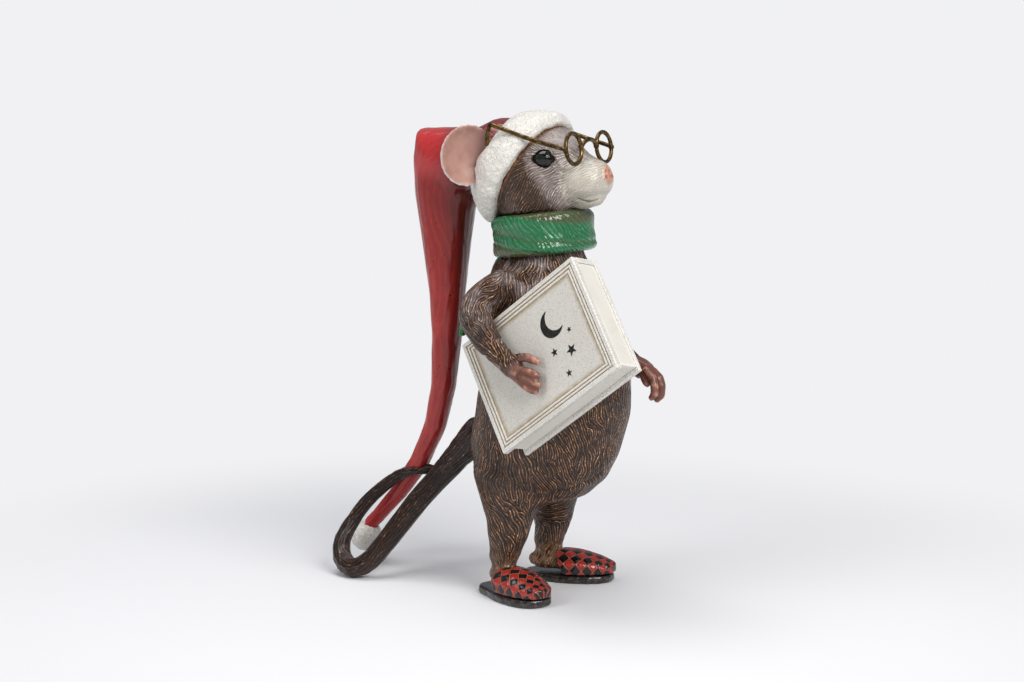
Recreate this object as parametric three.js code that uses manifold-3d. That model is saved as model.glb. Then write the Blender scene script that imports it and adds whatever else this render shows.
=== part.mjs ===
// Mouse figurine: a painted cast ornament of a mouse standing in slippers, with a long nightcap,
// a scarf, wire spectacles and a book under its right arm.
// Millimetres, +Z up. The mouse faces -Y and its own left hand side is +X.
// The origin is on the floor, at the middle of the figurine's box.

import * as THREE from 'three';
import { mergeVertices } from 'three/addons/utils/BufferGeometryUtils.js';
import Module from 'manifold-3d';

const wasm = await Module();
wasm.setup();

// Driving dimensions

// Clearances
const GLUE_GAP = 0.3;
const PEG_SLACK = 0.3;
const PEG_SIDES = 16;
const SKIN_ALLOWANCE = 0.15;

// Body
const BELLY_HALF_WIDTH = 25;
const BELLY_HALF_DEPTH = 25;
const BELLY_HEIGHT = 60;
const CHEST_HALF_WIDTH = 19.5;
const CHEST_HALF_DEPTH = 18.5;
const CHEST_HEIGHT = 99;
const NECK_RADIUS = 12.6;
const NECK_LENGTH = 17;
const NECK_PEG_RADIUS = 5;
const NECK_PEG_LENGTH = 7;

// Legs
const STANCE_HALF_WIDTH = 13.2;
const ANKLE_RADIUS = 4.4;
const ANKLE_HEIGHT = 12;
const ANKLE_DEPTH = 5.4;
const LEFT_FOOT_LEAD = 1.1;
const THIGH_RADIUS = 13;
const CALF_RADIUS = 6;

// Head
const HEAD_RISE = 21.2;
const HEAD_DEPTH = 3;
const SKULL_HALF_WIDTH = 16.5;
const SKULL_HALF_DEPTH = 17;
const SKULL_HALF_HEIGHT = 16.6;
const SNOUT_LENGTH = 23;
const SNOUT_TIP_RADIUS = 5.5;
const EYE_RADIUS = 2.9;
const EYE_HALF_SPACING = 10.6;

// Ears
const EAR_HEIGHT = 19.8;
const EAR_WIDTH = 19;
const EAR_WALL = 1.5;
const EAR_DISH = 3.6;
const EAR_OUT = 18;
const EAR_TURN = 32;

// Nightcap
const BAND_TILT = 31;
const BAND_RADIUS = 19.5;
const BAND_WALL = 4;
const BAND_WIDTH = 15.2;
const BAG_ROOT_RADIUS = 11.5;
const BAG_TIP_RADIUS = 2.2;
const POMPOM_RADIUS = 5.4;

// Scarf
const SCARF_RADIUS = 16.8;
const SCARF_HEIGHT = 13.4;
const SCARF_TILT = 6.5;
const SCARF_END_WIDTH = 11;
const SCARF_END_THICKNESS = 2.6;
const SCARF_END_LENGTH = 26;
const SCARF_END_TURN = 28;

// Arms
const UPPER_ARM_RADIUS = 6.2;
const ELBOW_RADIUS = 5.8;
const WRIST_RADIUS = 3.3;
const PALM_RADIUS = 3.5;
const FINGER_RADIUS = 1.6;
const ARM_PEG_RADIUS = 2.2;
const ARM_PEG_LENGTH = 6;

// Book
const BOOK_WIDTH = 39.5;
const BOOK_HEIGHT = 51.6;
const BOOK_THICKNESS = 11.6;
const BOARD_THICKNESS = 2.2;
const BOARD_OVERHANG = 1.4;
const FRAME_WIDTH = 2.9;
const FRAME_STEP = 0.4;
const BOOK_TURN = 11.6;
const BOOK_TIP = 10.7;
const BOOK_ROLL = 53;

// Tail
const TAIL_ROOT_RADIUS = 4.6;
const TAIL_MIDDLE_RADIUS = 3.6;
const TAIL_TIP_RADIUS = 1.9;
const TAIL_PEG_RADIUS = 2;
const TAIL_PEG_LENGTH = 6;
const TAIL_FLAT = 0.5;
const BLOCK_WIDTH = 200;
const BLOCK_DEPTH = 20;

// Slippers
const SLIPPER_LENGTH = 30.6;
const SLIPPER_WIDTH = 15.6;
const SOLE_THICKNESS = 2.7;
const UPPER_LENGTH = 18.2;
const UPPER_HEIGHT = 7.5;
const UPPER_WALL = 1.1;
const UPPER_INSET = 0.4;
const UPPER_RAKE = 22;
const TOE_OUT = 22;
const SLIPPER_AHEAD_RIGHT = 6.2;
const SLIPPER_AHEAD_LEFT = 7.2;

// Spectacles
const WIRE_RADIUS = 0.55;
const WIRE_SIDES = 6;
const RIM_RADIUS = 5.0;
const RIM_HALF_SPACING = 9.6;
const RIM_LEAN = 6.6;
const TEMPLE_OUT = 16.4;

// Colours
const FUR_BROWN = 0x33241c;
const FACE_GREY = 0x8d7f7a;
const EAR_PINK = 0xc09a88;
const CAP_WHITE = 0xe4e2da;
const CAP_RED = 0xa11a1c;
const SCARF_GREEN = 0x1d6f42;
const BOOK_CREAM = 0xe3e0d3;
const SLIPPER_RED = 0xb02a22;
const SOLE_BLACK = 0x1b1816;
const BRASS = 0x8a6a35;
const EYE_BLACK = 0x0a0807;

// Heights that follow from the ones above
const NECK_TOP = CHEST_HEIGHT + NECK_LENGTH;
const HEAD_HEIGHT = NECK_TOP + HEAD_RISE;

// Vectors and small sums

const at = (x, y, z) => new THREE.Vector3(x, y, z);
const degrees = THREE.MathUtils.degToRad;

// Distance fields: each gives the distance of a point from a rounded form, negative inside it.

function ball(centre, radius) {
  return (p) => p.distanceTo(centre) - radius;
}

function egg(centre, radii) {
  const scaled = new THREE.Vector3();
  const squared = new THREE.Vector3();
  return (p) => {
    scaled.subVectors(p, centre).divide(radii);
    squared.copy(scaled).divide(radii);
    const near = scaled.length();
    return near < 1e-6 ? -Math.min(radii.x, radii.y, radii.z) : (near * (near - 1)) / squared.length();
  };
}

function limb(start, end, startRadius, endRadius) {
  const axis = new THREE.Vector3().subVectors(end, start);
  const lengthSquared = axis.lengthSq();
  const offset = new THREE.Vector3();
  return (p) => {
    const along = THREE.MathUtils.clamp(offset.subVectors(p, start).dot(axis) / lengthSquared, 0, 1);
    offset.addScaledVector(axis, -along);
    return offset.length() - THREE.MathUtils.lerp(startRadius, endRadius, along);
  };
}

function smoothMinimum(a, b, softness) {
  const overlap = Math.max(softness - Math.abs(a - b), 0) / softness;
  return Math.min(a, b) - (overlap * overlap * softness) / 4;
}

function melt(softness, ...fields) {
  return (p) => fields.map((field) => field(p)).reduce((a, b) => smoothMinimum(a, b, softness));
}

function above(height, field) {
  return (p) => Math.max(field(p), height - p.z);
}

function grown(field, gap) {
  return (p) => field(p) - gap;
}

// Skins a distance field: one point in each grid cell that the surface crosses, moved onto the
// surface, and one square across each grid edge that the surface cuts. The grid starts two cells
// outside the box from low to high, so that the skin closes.
function skin(field, boxLow, boxHigh, cell) {
  const low = boxLow.clone().subScalar(2 * cell);
  const counts = boxHigh.clone().sub(low).divideScalar(cell).ceil().addScalar(3);
  const index = (i, j, k) => i + counts.x * (j + counts.y * k);
  const values = new Float32Array(counts.x * counts.y * counts.z);
  const p = new THREE.Vector3();
  for (let k = 0; k < counts.z; k += 1) {
    for (let j = 0; j < counts.y; j += 1) {
      for (let i = 0; i < counts.x; i += 1) {
        p.set(i, j, k).multiplyScalar(cell).add(low);
        values[index(i, j, k)] = field(p);
      }
    }
  }
  const corners = [];
  for (let c = 0; c < 8; c += 1) corners.push([c & 1, (c >> 1) & 1, (c >> 2) & 1]);
  const edges = [
    [0, 1], [2, 3], [4, 5], [6, 7],
    [0, 2], [1, 3], [4, 6], [5, 7],
    [0, 4], [1, 5], [2, 6], [3, 7],
  ];
  const positions = [];
  const pointOfCell = new Map();
  const settle = (point) => {
    const step = cell * 0.02;
    for (let round = 0; round < 3; round += 1) {
      const here = field(point);
      const slope = ['x', 'y', 'z'].map((axis) => {
        const nudged = point.clone();
        nudged[axis] += step;
        return (field(nudged) - here) / step;
      });
      const steepness = Math.max(slope[0] ** 2 + slope[1] ** 2 + slope[2] ** 2, 0.2);
      const move = THREE.MathUtils.clamp(here / steepness, -cell / 2, cell / 2);
      point.sub(at(slope[0], slope[1], slope[2]).multiplyScalar(move));
    }
    return point;
  };
  for (let k = 0; k < counts.z - 1; k += 1) {
    for (let j = 0; j < counts.y - 1; j += 1) {
      for (let i = 0; i < counts.x - 1; i += 1) {
        const sum = new THREE.Vector3();
        let crossings = 0;
        for (const [a, b] of edges) {
          const va = values[index(i + corners[a][0], j + corners[a][1], k + corners[a][2])];
          const vb = values[index(i + corners[b][0], j + corners[b][1], k + corners[b][2])];
          if (va < 0 === vb < 0) continue;
          const start = at(...corners[a]);
          sum.add(start.lerp(at(...corners[b]), va / (va - vb)));
          crossings += 1;
        }
        if (crossings === 0) continue;
        sum.divideScalar(crossings).add(p.set(i, j, k)).multiplyScalar(cell).add(low);
        pointOfCell.set(index(i, j, k), positions.length / 3);
        positions.push(...settle(sum).toArray());
      }
    }
  }
  const triangles = [];
  const square = (ring, outward) => {
    const [a, b, c, d] = outward ? ring : [...ring].reverse();
    triangles.push(a, b, c, a, c, d);
  };
  for (let k = 1; k < counts.z - 1; k += 1) {
    for (let j = 1; j < counts.y - 1; j += 1) {
      for (let i = 1; i < counts.x - 1; i += 1) {
        const inside = values[index(i, j, k)] < 0;
        const cellPoint = (di, dj, dk) => pointOfCell.get(index(i - di, j - dj, k - dk));
        if (inside !== values[index(i + 1, j, k)] < 0) {
          square([cellPoint(0, 1, 1), cellPoint(0, 0, 1), cellPoint(0, 0, 0), cellPoint(0, 1, 0)], inside);
        }
        if (inside !== values[index(i, j + 1, k)] < 0) {
          square([cellPoint(1, 0, 1), cellPoint(1, 0, 0), cellPoint(0, 0, 0), cellPoint(0, 0, 1)], inside);
        }
        if (inside !== values[index(i, j, k + 1)] < 0) {
          square([cellPoint(1, 1, 0), cellPoint(0, 1, 0), cellPoint(0, 0, 0), cellPoint(1, 0, 0)], inside);
        }
      }
    }
  }
  return surface(positions, triangles);
}

function surface(positions, triangles) {
  const geometry = new THREE.BufferGeometry();
  geometry.setAttribute('position', new THREE.Float32BufferAttribute(positions, 3));
  geometry.setIndex(triangles);
  return geometry;
}

// Joins rings of points, all of one length, into one body with pointed or flat ends.
function loft(rings) {
  const sides = rings[0].length;
  const points = rings.flat();
  const triangles = [];
  for (let r = 0; r < rings.length - 1; r += 1) {
    for (let s = 0; s < sides; s += 1) {
      const a = r * sides + s;
      const b = r * sides + ((s + 1) % sides);
      triangles.push(a, b, b + sides, a, b + sides, a + sides);
    }
  }
  for (const [ring, backwards] of [[0, true], [rings.length - 1, false]]) {
    const middle = new THREE.Vector3();
    rings[ring].forEach((point) => middle.addScaledVector(point, 1 / sides));
    points.push(middle);
    const hub = points.length - 1;
    for (let s = 0; s < sides; s += 1) {
      const a = ring * sides + s;
      const b = ring * sides + ((s + 1) % sides);
      triangles.push(...(backwards ? [hub, b, a] : [hub, a, b]));
    }
  }
  return surface(points.flatMap((point) => point.toArray()), triangles);
}

// A rounded rod along a curve; radius(t) is its half width, and flat(t) squashes it across.
function rod(curve, steps, sides, radius, flat = () => 1) {
  const frames = curve.computeFrenetFrames(steps, false);
  const rings = [];
  for (let i = 0; i <= steps; i += 1) {
    const t = i / steps;
    const centre = curve.getPointAt(t);
    const ring = [];
    for (let s = 0; s < sides; s += 1) {
      const angle = (2 * Math.PI * s) / sides;
      const point = centre.clone();
      point.addScaledVector(frames.normals[i], Math.cos(angle) * radius(t));
      point.addScaledVector(frames.binormals[i], Math.sin(angle) * radius(t) * flat(t));
      ring.push(point);
    }
    rings.push(ring);
  }
  return loft(rings);
}

const through = (...points) => new THREE.CatmullRomCurve3(points, false, 'centripetal');

// A width that passes smoothly through pairs of place and width
function along(pairs) {
  return (t) => {
    let upper = pairs.findIndex(([place]) => place >= t);
    if (upper < 1) upper = upper < 0 ? pairs.length - 1 : 1;
    const [from, low] = pairs[upper - 1];
    const [to, high] = pairs[upper];
    return THREE.MathUtils.lerp(low, high, THREE.MathUtils.smoothstep(t, from, to));
  };
}

// A plain round peg from one point to another; its hole is wider and deeper by the slack.
function peg(start, end, radius, slack = 0) {
  const axis = new THREE.Vector3().subVectors(end, start);
  const length = axis.length() + slack;
  const geometry = new THREE.CylinderGeometry(radius + slack, radius + slack, length, PEG_SIDES);
  geometry.translate(0, length / 2, 0);
  geometry.applyQuaternion(new THREE.Quaternion().setFromUnitVectors(at(0, 1, 0), axis.normalize()));
  return geometry.translate(start.x, start.y, start.z);
}

// Cuts and joins

function solid(geometry) {
  const bare = geometry.clone();
  bare.deleteAttribute('normal');
  bare.deleteAttribute('uv');
  const merged = mergeVertices(bare, 1e-4);
  return new wasm.Manifold(
    new wasm.Mesh({
      numProp: 3,
      vertProperties: new Float32Array(merged.attributes.position.array),
      triVerts: new Uint32Array(merged.index.array),
    }),
  );
}

function geometryOf(body) {
  const { vertProperties, triVerts } = body.getMesh();
  return surface(Array.from(vertProperties), Array.from(triVerts));
}

function cut(geometry, ...tools) {
  return geometryOf(tools.reduce((body, tool) => body.subtract(solid(tool)), solid(geometry)));
}

function join(...geometries) {
  return geometryOf(geometries.map(solid).reduce((a, b) => a.add(b)));
}

function overlapOf(a, b) {
  return geometryOf(solid(a).intersect(solid(b)));
}

const figurine = new THREE.Group();

function addPiece(name, geometry, color, roughness, metalness = 0) {
  const material = new THREE.MeshStandardMaterial({ color, roughness, metalness });
  const mesh = new THREE.Mesh(geometry, material);
  mesh.name = name;
  figurine.add(mesh);
  return mesh;
}

const SIDES = [
  { name: 'right', x: -1 },
  { name: 'left', x: 1 },
];

// Scarf round the neck, tilted up at the front

const SCARF_CENTRE = at(0, -1.2, NECK_TOP + 0.7);

function scarfRing(gap) {
  const outer = SCARF_RADIUS + gap;
  const inner = NECK_RADIUS + GLUE_GAP - gap;
  const half = SCARF_HEIGHT / 2 + gap;
  const bead = 2;
  const profile = [
    [inner, -half],
    [outer - bead, -half],
    [outer - 0.4, -half + 0.8],
    [outer, -half + bead],
    [outer - 0.5, 0],
    [outer - 0.2, half - bead],
    [outer - 0.9, half - 0.7],
    [outer - bead, half],
    [inner, half],
    [inner, -half],
  ].map(([r, z]) => new THREE.Vector2(r, z));
  const ring = new THREE.LatheGeometry(profile, 28);
  ring.rotateX(Math.PI / 2);
  ring.rotateX(-degrees(SCARF_TILT));
  return ring.translate(...SCARF_CENTRE.toArray());
}

// Torso: an upright body whose half widths and depth follow a few heights, melted into two legs

function stack(stations) {
  const value = (z, key) => {
    let upper = stations.findIndex((station) => station.z > z);
    if (upper < 0) upper = stations.length - 1;
    upper = Math.max(upper, 1);
    const a = stations[upper - 1];
    const b = stations[upper];
    return THREE.MathUtils.lerp(a[key], b[key], THREE.MathUtils.smoothstep(z, a.z, b.z) * 0.5
      + THREE.MathUtils.clamp((z - a.z) / (b.z - a.z), 0, 1) * 0.5);
  };
  return (p) => {
    const halfWidth = value(p.z, 'halfWidth');
    const halfDepth = value(p.z, 'halfDepth');
    const reach = Math.hypot(p.x / halfWidth, (p.y - value(p.z, 'depth')) / halfDepth);
    const sideways = (reach - 1) * Math.min(halfWidth, halfDepth);
    return Math.max(sideways, p.z - stations[stations.length - 1].z, stations[0].z - p.z);
  };
}

const bellyStation = (rise, depth, wide, deep) => (
  { z: BELLY_HEIGHT + rise, depth, halfWidth: BELLY_HALF_WIDTH * wide, halfDepth: BELLY_HALF_DEPTH * deep }
);
const chestStation = (rise, depth, wide, deep) => (
  { z: CHEST_HEIGHT + rise, depth, halfWidth: CHEST_HALF_WIDTH * wide, halfDepth: CHEST_HALF_DEPTH * deep }
);
const TORSO_STATIONS = [
  { z: BELLY_HEIGHT - 31, depth: 1, halfWidth: 6, halfDepth: 8 },
  bellyStation(-27, 0, 0.6, 0.68),
  bellyStation(-21, -1.4, 0.86, 0.86),
  bellyStation(-12, -2.2, 0.98, 0.99),
  bellyStation(0, -5, 1, 1),
  bellyStation(12, -6, 0.96, 0.97),
  chestStation(-13, -3.2, 1.13, 1.24),
  chestStation(0, -2.3, 1, 1),
  { z: CHEST_HEIGHT + 8, depth: -0.4, halfWidth: NECK_RADIUS * 1.16, halfDepth: NECK_RADIUS * 1.26 },
  { z: NECK_TOP - 5, depth: -1.4, halfWidth: NECK_RADIUS, halfDepth: NECK_RADIUS },
  { z: NECK_TOP, depth: -1.4, halfWidth: NECK_RADIUS, halfDepth: NECK_RADIUS },
];

function ankleOf(side) {
  return at(side.x * STANCE_HALF_WIDTH, ANKLE_DEPTH - (side.x * LEFT_FOOT_LEAD) / 2, ANKLE_HEIGHT);
}

function legField(side) {
  const hip = at(side.x * (STANCE_HALF_WIDTH - 1.2), 2.8, 39);
  const knee = at(side.x * (STANCE_HALF_WIDTH + 1), 3.4, 21);
  const ankle = ankleOf(side);
  return melt(
    3,
    limb(hip, knee, THIGH_RADIUS, CALF_RADIUS),
    limb(knee, ankle, CALF_RADIUS, ANKLE_RADIUS),
    limb(ankle, ankle.clone().setZ(SOLE_THICKNESS + ANKLE_RADIUS), ANKLE_RADIUS, ANKLE_RADIUS),
  );
}

const bodyField = melt(2.5, stack(TORSO_STATIONS), legField(SIDES[0]), legField(SIDES[1]));

// a foot lies along the slipper, from the rounded heel to the toes inside the upper
function footShape(side) {
  const out = degrees(TOE_OUT) * side.x;
  const ahead = (distance, z) => at(Math.sin(out) * distance, -Math.cos(out) * distance, z);
  const ankle = ankleOf(side).setZ(0);
  const middle = SOLE_THICKNESS + ANKLE_RADIUS * 0.8;
  const line = through(
    ahead(-6.4, middle).add(ankle),
    ahead(-3, middle + 0.4).add(ankle),
    ahead(6, middle).add(ankle),
    ahead(14, middle - 1).add(ankle),
  );
  return rod(line, 8, 12, along([
    [0, ANKLE_RADIUS * 0.45],
    [0.12, ANKLE_RADIUS * 0.85],
    [0.3, ANKLE_RADIUS],
    [0.7, ANKLE_RADIUS * 0.86],
    [1, ANKLE_RADIUS * 0.5],
  ]));
}

const TORSO_LOW = at(-BELLY_HALF_WIDTH, -BELLY_HALF_DEPTH - 6, 0);
const TORSO_CELL = 4.7;
const TORSO_HIGH = at(BELLY_HALF_WIDTH, BELLY_HALF_DEPTH, NECK_TOP);

// Head

const HEAD = at(0, HEAD_DEPTH, HEAD_HEIGHT);
const onHead = (x, y, z) => at(x, y, z).add(HEAD);

function headField(gap = 0) {
  const skullRadii = at(SKULL_HALF_WIDTH, SKULL_HALF_DEPTH, SKULL_HALF_HEIGHT);
  const snoutTip = onHead(0, -SNOUT_LENGTH, -2);
  const chin = onHead(0, -SNOUT_LENGTH + 3.4, -6);
  const forms = [
    egg(HEAD, skullRadii),
    limb(onHead(0, -8, -0.4), snoutTip, SNOUT_TIP_RADIUS + 5.6, SNOUT_TIP_RADIUS),
    limb(onHead(0, -4, -8), chin, SNOUT_TIP_RADIUS + 4, SNOUT_TIP_RADIUS * 0.76),
  ];
  for (const side of SIDES) {
    forms.push(ball(onHead(side.x * 3, -SNOUT_LENGTH + 2, -3.8), SNOUT_TIP_RADIUS * 0.8));
    forms.push(ball(onHead(side.x * 7.2, -3.6, -7), 8.4));
  }
  forms.push(limb(at(0, SCARF_CENTRE.y, NECK_TOP), HEAD, NECK_RADIUS - 0.2, NECK_RADIUS + 1));
  return grown(above(NECK_TOP + GLUE_GAP - gap, melt(4.5, ...forms)), gap);
}

const HEAD_LOW = at(-SKULL_HALF_WIDTH, HEAD_DEPTH - SNOUT_LENGTH - SNOUT_TIP_RADIUS, NECK_TOP);
const HEAD_HIGH = at(SKULL_HALF_WIDTH, HEAD_DEPTH + SKULL_HALF_DEPTH, HEAD_HEIGHT + SKULL_HALF_HEIGHT);
const HEAD_CELL = 3.4;

const neckPegStart = at(0, SCARF_CENTRE.y, NECK_TOP - 2);
const neckPegEnd = at(0, SCARF_CENTRE.y, NECK_TOP + NECK_PEG_LENGTH);
const neckPeg = peg(neckPegStart, neckPegEnd, NECK_PEG_RADIUS);
const neckSocket = peg(neckPegStart, neckPegEnd, NECK_PEG_RADIUS, PEG_SLACK);

const eyeCentre = (side) => onHead(side.x * EYE_HALF_SPACING, -10.6, 3.6);

function eyeBall(side, gap) {
  const bead = new THREE.SphereGeometry(EYE_RADIUS + gap, 14, 9);
  return bead.translate(...eyeCentre(side).toArray());
}

// Nightcap: the band is a turned ring on an axis that leans back, and the skull fills it

const CAP_CENTRE = onHead(0, 0.3, -1.5);
const capTurn = new THREE.Quaternion().setFromAxisAngle(at(1, 0, 0), degrees(BAND_TILT));

// each pair is the distance behind the band's front edge and the half width there, less the radius
const BAND_OUTSIDE = [
  [0, -0.6],
  [0.8, 0.3],
  [3, 0.8],
  [7, 0],
  [10.4, -2.2],
  [BAND_WIDTH - 1.6, -5.2],
  [BAND_WIDTH, -8.2],
];

function bandRing(gap) {
  const outside = BAND_OUTSIDE.map(([back, extra]) => [back, BAND_RADIUS + extra]);
  const profile = [
    [-gap, BAND_RADIUS - BAND_WALL - gap],
    [-gap, outside[0][1] + gap],
    ...outside.slice(1).map(([back, radius]) => [back, radius + gap]),
    [BAND_WIDTH + gap, BAND_RADIUS - 9.2],
    [BAND_WIDTH - 3, BAND_RADIUS - BAND_WALL - 6 - gap],
    [BAND_WIDTH - 9, BAND_RADIUS - BAND_WALL - 2 - gap],
    [-gap, BAND_RADIUS - BAND_WALL - gap],
  ].map(([back, radius]) => new THREE.Vector2(radius, back));
  const ring = new THREE.LatheGeometry(profile, 26);
  ring.applyQuaternion(capTurn);
  return ring.translate(...CAP_CENTRE.toArray());
}

// Nightcap bag: from inside the band it runs back, folds over a bevelled corner and hangs to the tail.
// lean is the way that it runs: 90 is straight back and 180 is straight down.

const capStation = (back, rise, lean, halfDepth, halfWidth) => (
  { x: 0, y: HEAD_DEPTH + back, z: HEAD_HEIGHT + rise, lean, halfDepth, halfWidth }
);
const BAG_STATIONS = [
  capStation(9.4, 5.8, 60, 9, 9.4),
  capStation(14.3, 5.6, 64, BAG_ROOT_RADIUS + 0.4, BAG_ROOT_RADIUS + 0.4),
  capStation(19.8, 2.8, 82, 10.6, BAG_ROOT_RADIUS + 0.2),
  capStation(26.4, 1.6, 98, 11.4, 11.2),
  capStation(32.4, -0.2, 128, 16.2, 10),
  capStation(33, -3.2, 150, 13, 9.2),
  capStation(33.2, -10.2, 173, 10.4, 8.8),
  capStation(33, -25.2, 180, 7.8, 7.6),
  { x: 0, y: 35.8, z: 95, lean: 180, halfDepth: 5.6, halfWidth: 6 },
  { x: 0.3, y: 36.3, z: 80, lean: 178, halfDepth: 4.6, halfWidth: 5 },
  { x: 1.2, y: 38.4, z: 64, lean: 171, halfDepth: 3.9, halfWidth: 4.2 },
  { x: 2.4, y: 42.6, z: 50, lean: 160, halfDepth: 3.5, halfWidth: 3.7 },
  { x: 3, y: 49.6, z: 36.5, lean: 147, halfDepth: 3.1, halfWidth: 3.2 },
  { x: 3, y: 58, z: 25.4, lean: 139, halfDepth: 2.8, halfWidth: 2.8 },
  { x: 1.8, y: 64.6, z: 17.6, lean: 136, halfDepth: 2.4, halfWidth: 2.4 },
  { x: 0.6, y: 69, z: 12.8, lean: 136, halfDepth: BAG_TIP_RADIUS, halfWidth: BAG_TIP_RADIUS },
];
const BAG_SIDES = 16;
const BAG_SQUARENESS = 0.86;

function bagShape(gap) {
  const squared = (value) => Math.sign(value) * Math.abs(value) ** BAG_SQUARENESS;
  return loft(BAG_STATIONS.map((station, i) => {
    const across = degrees(station.lean - 90);
    const past = { 0: -gap, [BAG_STATIONS.length - 1]: gap }[i] ?? 0;
    const onward = at(0, Math.cos(across) * past, -Math.sin(across) * past);
    const ring = [];
    for (let s = 0; s < BAG_SIDES; s += 1) {
      const angle = (2 * Math.PI * s) / BAG_SIDES;
      const outward = squared(Math.sin(angle)) * (station.halfDepth + gap);
      ring.push(at(
        station.x - squared(Math.cos(angle)) * (station.halfWidth + gap),
        station.y + outward * Math.sin(across),
        station.z + outward * Math.cos(across),
      ).add(onward));
    }
    return ring;
  }));
}

// Ears: dished ovals that stand out from slots in the band

function earShape(side, gap) {
  const steps = 4;
  const rise = (r) => EAR_DISH * r * r;
  const wider = 1 + gap / 7;
  const thicker = gap * 1.3;
  const outline = [];
  for (let i = 0; i <= steps; i += 1) {
    const r = (i / steps) * wider;
    outline.push(new THREE.Vector2(r, rise(r) - thicker));
  }
  for (let i = steps; i >= 0; i -= 1) {
    const r = (i / steps) * wider;
    outline.push(new THREE.Vector2(r * 0.985, rise(r) + EAR_WALL * (1 - 0.35 * r) + thicker));
  }
  const dish = new THREE.LatheGeometry(outline, 20);
  dish.scale(EAR_WIDTH / 2, 1, EAR_HEIGHT / 2);
  dish.rotateZ(Math.PI);
  dish.rotateX(degrees(4));
  dish.rotateZ(side.x * degrees(EAR_TURN));
  return dish.translate(side.x * EAR_OUT, HEAD_DEPTH + 15, HEAD_HEIGHT + 4.8);
}

// Spectacles: round wire rims, an arched bridge, and temples whose ends are set in the band

const RIM_CENTRE = onHead(0, -20.7, 6.9);

function wire(curve, steps, radius) {
  const section = new THREE.Shape();
  for (let i = 0; i < WIRE_SIDES; i += 1) {
    const angle = (2 * Math.PI * i) / WIRE_SIDES;
    if (i === 0) section.moveTo(radius, 0);
    else section.lineTo(radius * Math.cos(angle), radius * Math.sin(angle));
  }
  section.closePath();
  return new THREE.ExtrudeGeometry(section, { steps, extrudePath: curve, bevelEnabled: false });
}

function templeShape(side, gap) {
  const rimEdge = RIM_HALF_SPACING + RIM_RADIUS + GLUE_GAP + WIRE_RADIUS;
  const hinge = at(side.x * rimEdge, 0.3, 0).add(RIM_CENTRE);
  const bend = onHead(side.x * TEMPLE_OUT, 5.4, 14);
  const hook = onHead(side.x * (TEMPLE_OUT - 1.9), 6.6, 8.6);
  hook.add(hook.clone().sub(bend).setLength(gap));
  const curve = through(
    hinge,
    hinge.clone().lerp(bend, 0.5).add(at(side.x * 0.3, 0, -0.3)),
    hinge.clone().lerp(bend, 0.93),
    bend,
    bend.clone().lerp(hook, 0.25).add(at(0, 0.5, 0)),
    hook,
  );
  return wire(curve, 14, WIRE_RADIUS + gap);
}

function lean(geometry) {
  geometry.rotateX(degrees(-RIM_LEAN));
  return geometry.translate(...RIM_CENTRE.toArray());
}

for (const side of SIDES) {
  const rim = new THREE.TorusGeometry(RIM_RADIUS - WIRE_RADIUS, WIRE_RADIUS, WIRE_SIDES, 22);
  rim.rotateX(Math.PI / 2);
  rim.translate(side.x * RIM_HALF_SPACING, 0, 0);
  addPiece(`spectacle_rim_${side.name}`, lean(rim), BRASS, 0.4, 0.9);
  addPiece(`spectacle_temple_${side.name}`, templeShape(side, 0), BRASS, 0.4, 0.9);
}

const bridgeHalf = RIM_HALF_SPACING - RIM_RADIUS - GLUE_GAP - WIRE_RADIUS / 2;
const bridge = wire(through(
  at(-bridgeHalf, 0, 0.4),
  at(-bridgeHalf * 0.6, -0.4, 2),
  at(0, -0.5, 2.7),
  at(bridgeHalf * 0.6, -0.4, 2),
  at(bridgeHalf, 0, 0.4),
), 10, WIRE_RADIUS);
addPiece('spectacle_bridge', lean(bridge), BRASS, 0.4, 0.9);

// The head and the nightcap, each cut where the other pieces sit in it

const earSlots = SIDES.map((side) => earShape(side, GLUE_GAP));
const head = cut(
  skin(headField(), HEAD_LOW, HEAD_HIGH, HEAD_CELL),
  scarfRing(GLUE_GAP),
  neckSocket,
  bandRing(GLUE_GAP),
  bagShape(GLUE_GAP),
  ...earSlots,
  ...SIDES.map((side) => eyeBall(side, GLUE_GAP)),
);
addPiece('head', head, FACE_GREY, 0.55);
for (const side of SIDES) addPiece(`eye_${side.name}`, eyeBall(side, 0), EYE_BLACK, 0.1);
addPiece(
  'nightcap_band',
  cut(
    bandRing(0),
    bagShape(GLUE_GAP),
    scarfRing(GLUE_GAP),
    ...earSlots,
    ...SIDES.map((side) => templeShape(side, GLUE_GAP)),
  ),
  CAP_WHITE,
  0.8,
);
addPiece('nightcap_bag', cut(bagShape(0), ...earSlots), CAP_RED, 0.3);
for (const side of SIDES) addPiece(`ear_${side.name}`, earShape(side, 0), EAR_PINK, 0.5);

const bagEnd = BAG_STATIONS[BAG_STATIONS.length - 1];
const POMPOM_CENTRE = at(bagEnd.x - 0.2, bagEnd.y + 1.4, bagEnd.z - 3.8);
const pompomBall = new THREE.IcosahedronGeometry(POMPOM_RADIUS, 3).translate(...POMPOM_CENTRE.toArray());
addPiece('nightcap_pompom', cut(pompomBall, bagShape(GLUE_GAP)), CAP_WHITE, 0.85);

// Book: a case of two boards and a spine round a page block, tipped forward under the right arm

const bookTurn = new THREE.Quaternion()
  .setFromAxisAngle(at(0, 0, 1), degrees(-BOOK_TURN))
  .multiply(new THREE.Quaternion().setFromAxisAngle(at(0, 1, 0), degrees(BOOK_TIP)))
  .multiply(new THREE.Quaternion().setFromAxisAngle(at(1, 0, 0), degrees(BOOK_ROLL)))
  .multiply(new THREE.Quaternion().setFromRotationMatrix(
    new THREE.Matrix4().makeBasis(at(0, -1, 0), at(0, 0, 1), at(-1, 0, 0)),
  ));
const BOOK_CENTRE = at(-CHEST_HALF_WIDTH - 11, -17.1, CHEST_HEIGHT - 17.3);

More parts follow.
